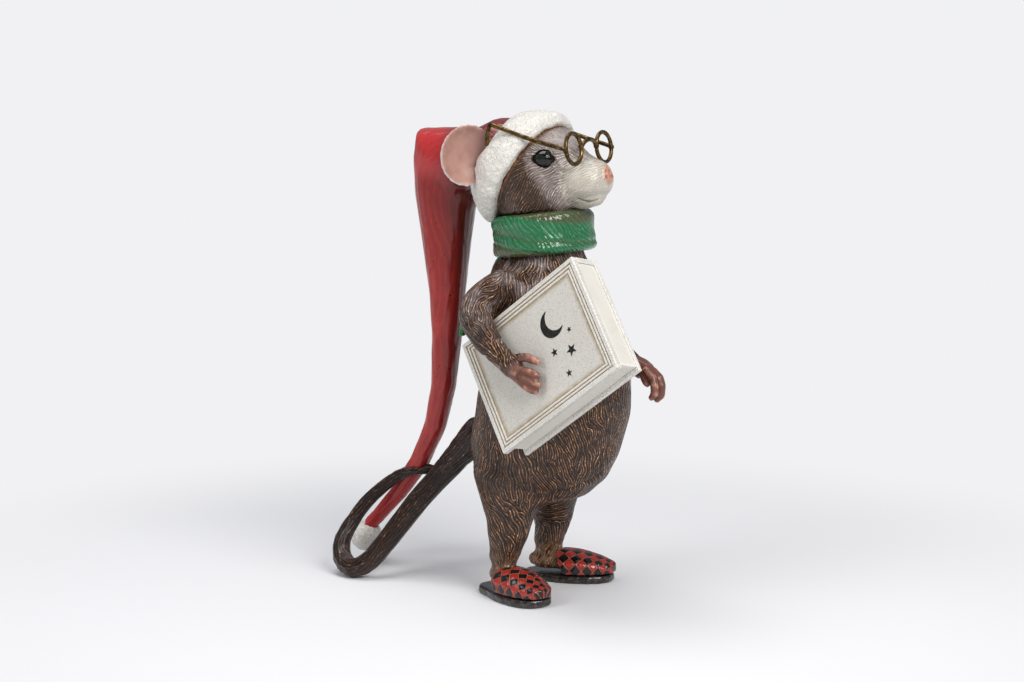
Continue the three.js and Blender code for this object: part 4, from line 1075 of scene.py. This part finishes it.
# %% Carve the scarf
for node, name, square in (("scarf_collar", "carved_scarf", 0.72), ("scarf_end", "carved_scarf_end", 0.45)):
    cloth = cast_copy(node, name, square, 22)
    if node == "scarf_end":
        lay_up_to_collar(cloth)
    rise, outward = about_axis(cloth.points, SCARF_CENTRE, SCARF_UP)
    outward = unit(outward)
    around = np.cross(SCARF_UP, outward)
    heading = swirled(cloth, around * 0.75 - SCARF_UP * 0.8, 7.0, 0.45, 71)
    hairs = comb_both(cloth, heading, 1.5, 0.95, 72, rounds=120)
    height = 0.08 * (hairs - 0.5) + 0.12 * ripple(cloth.points, 4.0, 75)
    if node == "scarf_collar":
        outside = gently((cloth.normals() * outward).sum(1), 0.2, 0.7)
        wander = 0.9 * ripple(cloth.points, 12.0, 74)
        crease = gently(np.abs(rise - wander + 0.4), 1.5, 0.1) * outside
        roll = gently(np.abs(rise + 4.4), 0.8, 0.1) * outside
        height = height * outside - 0.3 * crease - 0.3 * roll
        rims = np.maximum(gently(rise, -3.9, -5.0), gently(rise, 5.2, 6.4))
        cloth.note("edge", np.maximum(rims, 0.3 * crease))
    else:
        cloth.note("edge", np.full(cloth.size, 0.2))
    cloth.push(height)
    cloth.note_relief(16, 0.4)
    wear(cloth, green)

# %% [markdown]
# ## Slippers
#
# The soles are black slabs with worn, slightly sparkling edges. The uppers are domes with a check of lozenges,
# red and black, set corner to corner, and each lozenge has a fine raised outline. A flat picture of a check would
# stretch over the dome. So two numbers are noted at each point, measured along and around the dome, and both the
# carving and the paint count lozenges with them.


# %% Check finish
def check_paint(recipe):
    """Red lozenges with a worn outline between black ones, counted along two notes."""
    first, second = recipe.noted("check_one"), recipe.noted("check_two")
    counted = recipe.plus(recipe.sum("FLOOR", first), recipe.sum("FLOOR", second))
    odd = recipe.sum("FLOORED_MODULO", counted, 2.0)
    black = recipe.ramp(odd, 0.4, 0.6)
    gaps = [recipe.sum("ABSOLUTE", recipe.plus(recipe.sum("FRACT", one), -0.5)) for one in (first, second)]
    waver = recipe.scaled(recipe.noise(1.0), 0.06, -0.03)
    line = recipe.ramp(recipe.plus(recipe.sum("MAXIMUM", *gaps), waver), 0.44, 0.475)
    out = recipe.washed("9c2a23", "3d1512", "d05a4c", 0.6, 0.4, 350.0)
    color = recipe.tint(out["Color"], black, "100d0c")
    outline = recipe.times(line, recipe.patches(1.6, 0.36, 0.6, 0.15, 0.85))
    color = recipe.tint(color, outline, "b06a52")
    rough = recipe.scaled(out["Roughness"], 0.7, 0.06)
    return color, rough, recipe.plus(out["Height"], recipe.times(line, 1.5))


check = varnished("slipper_check", check_paint, specular=0.55, coat=0.1, depth=0.1)


# %% Sole finish
def sole_paint(recipe):
    """Black with a few painted glints."""
    color, rough, height = recipe.washed_coat("171413", "0b0908", "4d3f36", 0.6, 0.6, blotch=2.0, rough=0.12)
    glint = recipe.patches(0.5, 0.7, 0.76, 0.0, 0.5, detail=1.0)
    return recipe.tint(color, glint, "96765e"), rough, height


sole_finish = varnished("sole_black", sole_paint, specular=0.6, coat=0.2, depth=0.12)

# %% Shape and carve the slippers
LOZENGE = 2.5
SOLE_TOP = 3.0
DOME_LONG, DOME_REACH, DOME_WIDE, DOME_FOOT = 14.0, 16.5, 7.4, 1.4
for side, (centre, toe_out) in SLIPPERS.items():
    upper = cast_copy(f"slipper_upper_{side}", f"checked_upper_{side}", 0.42, 12)
    ahead, across = foot_ways(toe_out)
    flat = upper.points[:, :2] - centre
    length, width, rise = flat @ ahead, flat @ across, upper.points[:, 2] - SOLE_TOP
    toe = gently(length, -4, 14)
    length = length + 0.9 * toe - 0.8 * (1 - gently(length, -4, 4))
    width = width * (1.1 - 0.16 * toe)
    flat = length[:, None] * ahead + width[:, None] * across
    upper.points = np.column_stack([flat + centre, SOLE_TOP + rise * (1.06 - 0.26 * toe)])
    upper.store()
    length = DOME_LONG * np.arcsin(np.clip((flat @ ahead) / DOME_REACH, -1, 1))
    width = DOME_WIDE * np.arctan2(flat @ across, upper.points[:, 2] - DOME_FOOT)
    one, two = ((length + way * width) / math.sqrt(2) / LOZENGE + 0.25 for way in (1, -1))
    pillow = np.minimum(0.5 - np.abs(one % 1 - 0.5), 0.5 - np.abs(two % 1 - 0.5))
    outside = gently(upper.normals()[:, 2], -0.3, 0.2)
    upper.push((0.16 * gently(pillow, 0.05, 0.3) + 0.14 * gently(pillow, 0.06, 0.02)) * outside)
    upper.note_relief(12, 0.2)
    upper.note("check_one", one)
    upper.note("check_two", two)
    wear(upper, check)
    sole = cast_copy(f"slipper_sole_{side}", f"worn_sole_{side}", 0.5, 8)
    rough_edge = ripple(sole.points, 1.4, 81) * gently(np.abs(sole.normals()[:, 2]), 0.9, 0.4)
    sole.push(0.1 * rough_edge)
    sole.points[:, 2] = np.maximum(sole.points[:, 2], 0.0)
    sole.store()
    rim = gently(np.abs(sole.normals()[:, 2]), 0.95, 0.5)
    sole.note("relief", np.clip(rough_edge * 0.8 + rim * 0.3, -1, 1))
    wear(sole, sole_finish)

# %% [markdown]
# ## Book
#
# The book has a case of two boards and a spine round its pages. The front board carries a stepped moulding like a
# picture frame. Its title is left off; a small moon and stars in ink take its place. Boards have sharp corners,
# which a remesh would lose, so they start as boxes, whose faces are inset and pushed in, ring by ring, and whose
# edges are bevelled.


# %% Book helpers
def box_shape(fore, top, out):
    """A box in the book's own directions, from pairs of limits in millimetres."""
    shape = bmesh.new()
    bmesh.ops.create_cube(shape, size=1.0)
    spans = (fore, top, out)
    bmesh.ops.scale(shape, verts=shape.verts, vec=[b - a for a, b in spans])
    bmesh.ops.translate(shape, verts=shape.verts, vec=[(a + b) / 2 for a, b in spans])
    return shape


def soften(shape, edges, width):
    bmesh.ops.bevel(shape, geom=edges, affect="EDGES", offset=width, segments=3, profile=0.5, material=-1)


def bind(shape, name, node=None):
    """Puts a shape of the book in its place on the figurine."""
    place = Matrix.Translation(Vector(BOOK_CENTRE) * MM) @ (BOOK_TURN * MM).to_4x4()
    place[3][3] = 1.0
    bmesh.ops.transform(shape, matrix=place, verts=shape.verts)
    piece = put(name, mesh_of(shape, name))
    if node:
        dress(piece, node)
    print(name, "faces", len(piece.data.polygons))
    return piece


HALF_W, HALF_H, THICK, BOARD = 39.5 / 2, 51.6 / 2, 11.6, 2.2
BACK_IN = -THICK + BOARD * 0.7
SPINE = BOARD * 0.8
PAGES_IN, PAGES_UNDER_TOP = 1.4, 0.42
FULL_W, FULL_H, BETWEEN = (-HALF_W, HALF_W), (-HALF_H, HALF_H), (BACK_IN, -BOARD)

# %% Front board: inset and sink the cover ring by ring
MOULDING = (
    (1.35, 0.0, 0.0), (0.15, -0.35, 1.0), (0.2, 0.0, 1.0), (0.2, 0.3, 0.0), (0.5, 0.0, 0.0), (0.2, -0.35, 1.0),
    (0.2, 0.0, 1.0), (0.2, 0.25, 0.0), (0.5, 0.0, 0.0), (0.3, -0.3, 1.0), (0.25, 0.05, 0.8), (1.2, 0.0, 0.0),
)
PANEL = sum(sink for _, sink, _ in MOULDING)
shape = box_shape(FULL_W, FULL_H, (-BOARD, 0.0))
groove = shape.verts.layers.float.new("groove")
face = max(shape.faces, key=lambda one: one.normal.z)
for width, sink, wash_share in MOULDING:
    bmesh.ops.inset_region(shape, faces=[face], thickness=width, depth=0.0, use_even_offset=True)
    bmesh.ops.translate(shape, verts=face.verts, vec=(0, 0, sink))
    for vert in face.verts:
        vert[groove] = wash_share


def on_outline(vert):
    return abs(abs(vert.co.x) - HALF_W) < 0.01 or abs(abs(vert.co.y) - HALF_H) < 0.01


soften(shape, [edge for edge in shape.edges if all(on_outline(vert) for vert in edge.verts)], 0.35)
front = bind(shape, "framed_front_board", "book_front_board")


# %% Back board, spine and pages
def plain_slab(fore, top, out, name, node, width):
    shape = box_shape(fore, top, out)
    soften(shape, list(shape.edges), width)
    return bind(shape, name, node)


back = plain_slab(FULL_W, FULL_H, (-THICK, BACK_IN), "back_board", "book_back_board", 0.35)
spine = plain_slab((-HALF_W, -HALF_W + SPINE), FULL_H, BETWEEN, "spine_strip", "book_spine", 0.2)
pages = plain_slab(
    (-HALF_W + SPINE, HALF_W - PAGES_IN), (-HALF_H + PAGES_IN, HALF_H - PAGES_UNDER_TOP), BETWEEN,
    "page_block", "book_page_block", 0.25,
)

# %% Moon and stars in ink
MOON_R, BITE_R, BITE_FROM_MIDDLE = 4.6, 4.1, 2.1
STARS = ((2.6, 6.4, 1.5, 10), (5.4, 12.6, 2.1, 30), (11.2, 8.6, 1.3, 0), (-0.6, 14.6, 1.0, 20))
INK_THICK, INK_SUNK = 0.06, 0.01
ink = bmesh.new()


def turn_and_move(made, degrees, fore, top):
    bmesh.ops.rotate(ink, verts=made, cent=(0, 0, 0), matrix=Matrix.Rotation(math.radians(degrees), 3, "Z"))
    bmesh.ops.translate(ink, verts=made, vec=(fore, top, 0))


made = bmesh.ops.create_circle(ink, cap_ends=True, segments=64, radius=MOON_R)["verts"]
for vert in made:
    wide = math.sqrt(max(BITE_R ** 2 - vert.co.y ** 2, 0.0))
    if vert.co.x > BITE_FROM_MIDDLE - wide and abs(vert.co.y) < BITE_R:
        vert.co.x = BITE_FROM_MIDDLE - wide + 0.12 * (vert.co.x > BITE_FROM_MIDDLE)
turn_and_move(made, 118, -6.0, 9.5)
for fore, top, size, degrees in STARS:
    made = bmesh.ops.create_circle(ink, cap_ends=True, segments=10, radius=size)["verts"]
    bmesh.ops.scale(ink, verts=[vert for k, vert in enumerate(made) if k % 2], vec=(0.42, 0.42, 1.0))
    turn_and_move(made, degrees, fore, top)
lifted = bmesh.ops.extrude_face_region(ink, geom=list(ink.faces), use_keep_orig=True)["geom"]
lifted = [one for one in lifted if isinstance(one, bmesh.types.BMVert)]
bmesh.ops.translate(ink, verts=lifted, vec=(0, 0, INK_THICK))
bmesh.ops.triangulate(ink, faces=list(ink.faces))
bmesh.ops.recalc_face_normals(ink, faces=list(ink.faces))
bmesh.ops.translate(ink, verts=list(ink.verts), vec=(0, 0, PANEL - INK_SUNK))
ornament = bind(ink, "ink_moon_and_stars")
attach(ornament, "root")


# %% Ink finish
def ink_paint(recipe):
    uneven = recipe.noise(0.7, 2.0)
    return recipe.mix(recipe.ramp(uneven, 0.5, 0.7), paint("171614"), paint("34322f")), uneven, uneven


wear(ornament, varnished("brushed_ink", ink_paint, specular=0.4, depth=0.02))


# %% Rub the edges of the boards
def note_corners(piece):
    """Cast boards are rubbed at their edges: each face is cut finer and its relief noted."""
    shape = shape_of(piece.data)
    for _ in range(5):
        edges = [edge for edge in shape.edges if edge.calc_length() > 1.3 * MM]
        if not edges:
            break
        bmesh.ops.subdivide_edges(shape, edges=edges, cuts=1, use_grid_fill=True)
    bmesh.ops.triangulate(shape, faces=[f for f in shape.faces if len(f.verts) > 4])
    shape.to_mesh(piece.data)
    shape.free()
    clay = Clay(piece)
    clay.note_relief(5, 0.1)
    print(piece.name, "points", clay.size)


for piece in (front, back, spine, pages):
    note_corners(piece)


# %% Book finish
def cover_paint(recipe):
    """Cream with sandy wash in the moulding and a fine grain of specks."""
    color, rough, height = recipe.washed_coat("cccac4", "97825f", "e4e2dd", 0.85, 0.5, blotch=12.0, rough=0.3)
    grit = recipe.noise(0.5, 3.0)
    color = recipe.tint(color, recipe.ramp(grit, 0.5, 0.66, 0.0, 0.6), "a8a092")
    stain = recipe.times(recipe.noted("groove"), recipe.patches(2.2, 0.3, 0.6, 0.45, 0.95))
    color = recipe.tint(color, stain, "96815b")
    return color, rough, recipe.scaled(grit, 0.9, height)


cover_finish = varnished("book_cream", cover_paint, specular=0.45, coat=0.1, depth=0.12)


def page_paint(recipe):
    out = recipe.washed("d6d3cb", "8c7757", "f0eee8", 0.8, 0.3, 120.0)
    return out["Color"], recipe.plus(out["Roughness"], 0.35), out["Height"]


page_finish = varnished("page_cream", page_paint, specular=0.4, depth=0.05)
for piece in (front, back, spine):
    wear(piece, cover_finish)
wear(pages, page_finish)


# %% [markdown]
# ## Spectacles
#
# The spectacles are bent from round wire and soldered: two rims, an arched bridge and two temples that hook into
# the band. A curve with a round section is the wire. It could be a ring and some tubes, but a curve bends where
# its points say and wavers a little, as wire bent by hand does. A small knob of solder sits at each joint.


# %% Wire
def wire_piece(name, node, line, closed, radius, knobs=()):
    """A run of wire with its knobs of solder, as one mesh."""
    curve = bpy.data.curves.new(name, "CURVE")
    curve.dimensions = "3D"
    curve.bevel_depth = radius * MM
    curve.bevel_resolution = 4
    curve.use_fill_caps = True
    spline = curve.splines.new("POLY")
    spline.points.add(len(line) - 1)
    spline.use_cyclic_u = closed
    for k, place in enumerate(line):
        spline.points[k].co = (*(place * MM), 1.0)
        spline.points[k].radius = 1 + 0.1 * noise.noise(Vector(place) / 2.0)
    draft = put(name + "_draft", curve)
    mesh = bpy.data.meshes.new_from_object(draft.evaluated_get(bpy.context.evaluated_depsgraph_get()))
    bpy.data.objects.remove(draft)
    bpy.data.curves.remove(curve)
    shape = shape_of(mesh)
    for place, size in knobs:
        made = bmesh.ops.create_icosphere(shape, subdivisions=3, radius=size * MM)
        bmesh.ops.translate(shape, verts=made["verts"], vec=Vector(place) * MM)
    shape.to_mesh(mesh)
    shape.free()
    mesh.name = name
    mesh.shade_smooth()
    piece = put(name, mesh)
    dress(piece, node)
    wear(piece, brass)


print("wire ready")

# %% The plane of the rims
RIM_CENTRE = HEAD + [0, -20.7, 6.9]
LEAN = math.radians(-6.6)


def on_rims(x, y, z):
    """A point of the leaning plane of the rims."""
    upright, sideways = math.cos(LEAN), math.sin(LEAN)
    return RIM_CENTRE + [x, y * upright - z * sideways, y * sideways + z * upright]


print("top of a rim", on_rims(0, 0, 4.8).round(1))


# %% Brass
def brass_paint(recipe):
    """Old brass: dark olive, with painted golden glints."""
    blotch = recipe.noise(2.4, 3.0)
    glint = recipe.noise(0.9, 2.0)
    color = recipe.mix(recipe.ramp(blotch, 0.36, 0.64), paint("352813"), paint("66502a"))
    # Painted glints: golden specks stand in for highlights on the wire.
    color = recipe.tint(color, recipe.ramp(glint, 0.54, 0.7, 0.0, 0.4), "b28f55")
    return color, recipe.ramp(blotch, 0.3, 0.7, 0.42, 0.24), blotch


brass = varnished("aged_brass", brass_paint, specular=0.5, metallic=0.85, depth=0.05)

# %% Rims, temples and bridge
RIM_R, RIM_ASIDE = 4.78, 9.6
for side, sign in SIDES:
    ring = [on_rims(sign * RIM_ASIDE + RIM_R * math.cos(turn), 0, RIM_R * math.sin(turn))
            for turn in np.linspace(0, 2 * math.pi, 49)[:-1]]
    wire_piece(f"wire_rim_{side}", f"spectacle_rim_{side}", ring, True, 0.66)
    hinge = RIM_CENTRE + [sign * 15.2, 0.3, 0]
    bend = HEAD + [sign * 16.9, 5.0, 14.2]
    hook = HEAD + [sign * 16.3, 7.0, 7.6]
    near_hinge, middle, near_bend = (hinge + (bend - hinge) * share for share in (0.06, 0.5, 0.93))
    run = smooth_line([
        RIM_CENTRE + [sign * 14.4, 0.1, 0], near_hinge, middle + [sign * 0.3, 0, -0.3], near_bend, bend,
        bend + (hook - bend) * 0.25 + [0, 0.5, 0], hook,
    ], 8)
    knobs = [(RIM_CENTRE + [sign * 14.6, 0.1, -0.1], 0.95)]
    wire_piece(f"wire_temple_{side}", f"spectacle_temple_{side}", run, False, 0.68, knobs)
half = RIM_ASIDE - RIM_R
arch = smooth_line([on_rims(-half, 0, 0.4), on_rims(-half * 0.6, -0.4, 2), on_rims(0, -0.5, 2.7),
                    on_rims(half * 0.6, -0.4, 2), on_rims(half, 0, 0.4)], 8)
knobs = [(on_rims(-half, 0, 0.5), 0.9), (on_rims(half, 0, 0.5), 0.9)]
wire_piece("wire_bridge", "spectacle_bridge", arch, False, 0.72, knobs)

# %% [markdown]
# ## Table, light and camera
#
# The photograph was taken on a pale sweep under large soft lights. The floor near the figurine takes its shadow,
# and further out it fades into the plain colour of the backdrop. A curved sweep would need its own light to look
# this even, so the fade is a mix of two shaders by distance.

# %% Floor and backdrop
shape = bmesh.new()
bmesh.ops.create_circle(shape, cap_ends=True, segments=96, radius=2.4)
floor = put("sweep", mesh_of(shape, "sweep"))

BACKDROP = paint("f1f1f3")
material, recipe, shader = new_material("sweep_paper")
recipe.fill(shader, {"Base Color": paint("dfdfe1"), "Roughness": 0.9, "Specular IOR Level": 0.1})
glow = recipe.node("Emission", {"Color": BACKDROP, "Strength": 1.0})
away = recipe.node("VectorMath", {0: recipe.place()}, operation="LENGTH").outputs["Value"]
blend = recipe.node("MixShader", {0: recipe.ramp(away, 0.1, 0.26), 1: shader.outputs[0], 2: glow.outputs[0]})
recipe.fill(material.node_tree.nodes["Material Output"], {"Surface": blend.outputs[0]})
wear(floor, material)

# %% World
world = bpy.data.worlds.new("soft_room")
bpy.context.scene.world = world
world.use_nodes = True
recipe = Recipe(world.node_tree)
room = recipe.fill(world.node_tree.nodes["Background"], {"Color": (0.9, 0.93, 1.0, 1.0), "Strength": 0.3})
seen = recipe.node("Background", {"Color": BACKDROP, "Strength": 1.0})
rays = recipe.node("LightPath").outputs
direct = recipe.sum("MAXIMUM", rays["Is Camera Ray"], rays["Is Transmission Ray"])
blend = recipe.node("MixShader", {0: direct, 1: room.outputs[0], 2: seen.outputs[0]})
recipe.fill(world.node_tree.nodes["World Output"], {"Surface": blend.outputs[0]})


# %% Lamps
AIM = (0.0, -0.01, 0.08)


def lamp(name, place, size, power, tint=(1, 1, 1)):
    light = bpy.data.lights.new(name, "AREA")
    light.shape = "RECTANGLE"
    light.size, light.size_y = size
    light.energy = power
    light.color = tint
    holder = put(name, light)
    holder.location = place
    holder.rotation_euler = (Vector(AIM) - Vector(place)).to_track_quat("-Z", "Y").to_euler()
    return holder


lamp("key_softbox", (-0.25, -0.62, 0.55), (0.42, 0.42), 5.0, (1.0, 0.985, 0.965))
lamp("glint_lamp", (-0.42, -0.5, 0.5), (0.07, 0.07), 0.45)
side_softbox = lamp("side_softbox", (-0.66, 0.26, 0.42), (0.3, 0.5), 2.1)
side_softbox.visible_glossy = False
lamp("top_softbox", (-0.05, 0.12, 0.75), (0.45, 0.45), 2.6)

# %% Camera
VIEW_FROM = Vector((-0.53575, -0.3368, 0.165))
yaw, pitch = math.radians(0.834), math.radians(7.53)
level = Vector((0.8572, 0.5150, 0.0))
right = Vector((0.5150, -0.8572, 0.0))
level, right = level * math.cos(yaw) - right * math.sin(yaw), right * math.cos(yaw) + level * math.sin(yaw)
onward = level * math.cos(pitch) - Vector((0, 0, math.sin(pitch)))
up = right.cross(onward)
camera = put("photo_camera", bpy.data.cameras.new("photo_camera"))
camera.matrix_world = Matrix.Translation(VIEW_FROM) @ Matrix((right, up, -onward)).transposed().to_4x4()
camera.data.lens = 69.21
camera.data.sensor_width = 36.0
camera.data.clip_start = 0.01
bpy.context.scene.camera = camera
bpy.context.scene.view_settings.view_transform = "Standard"
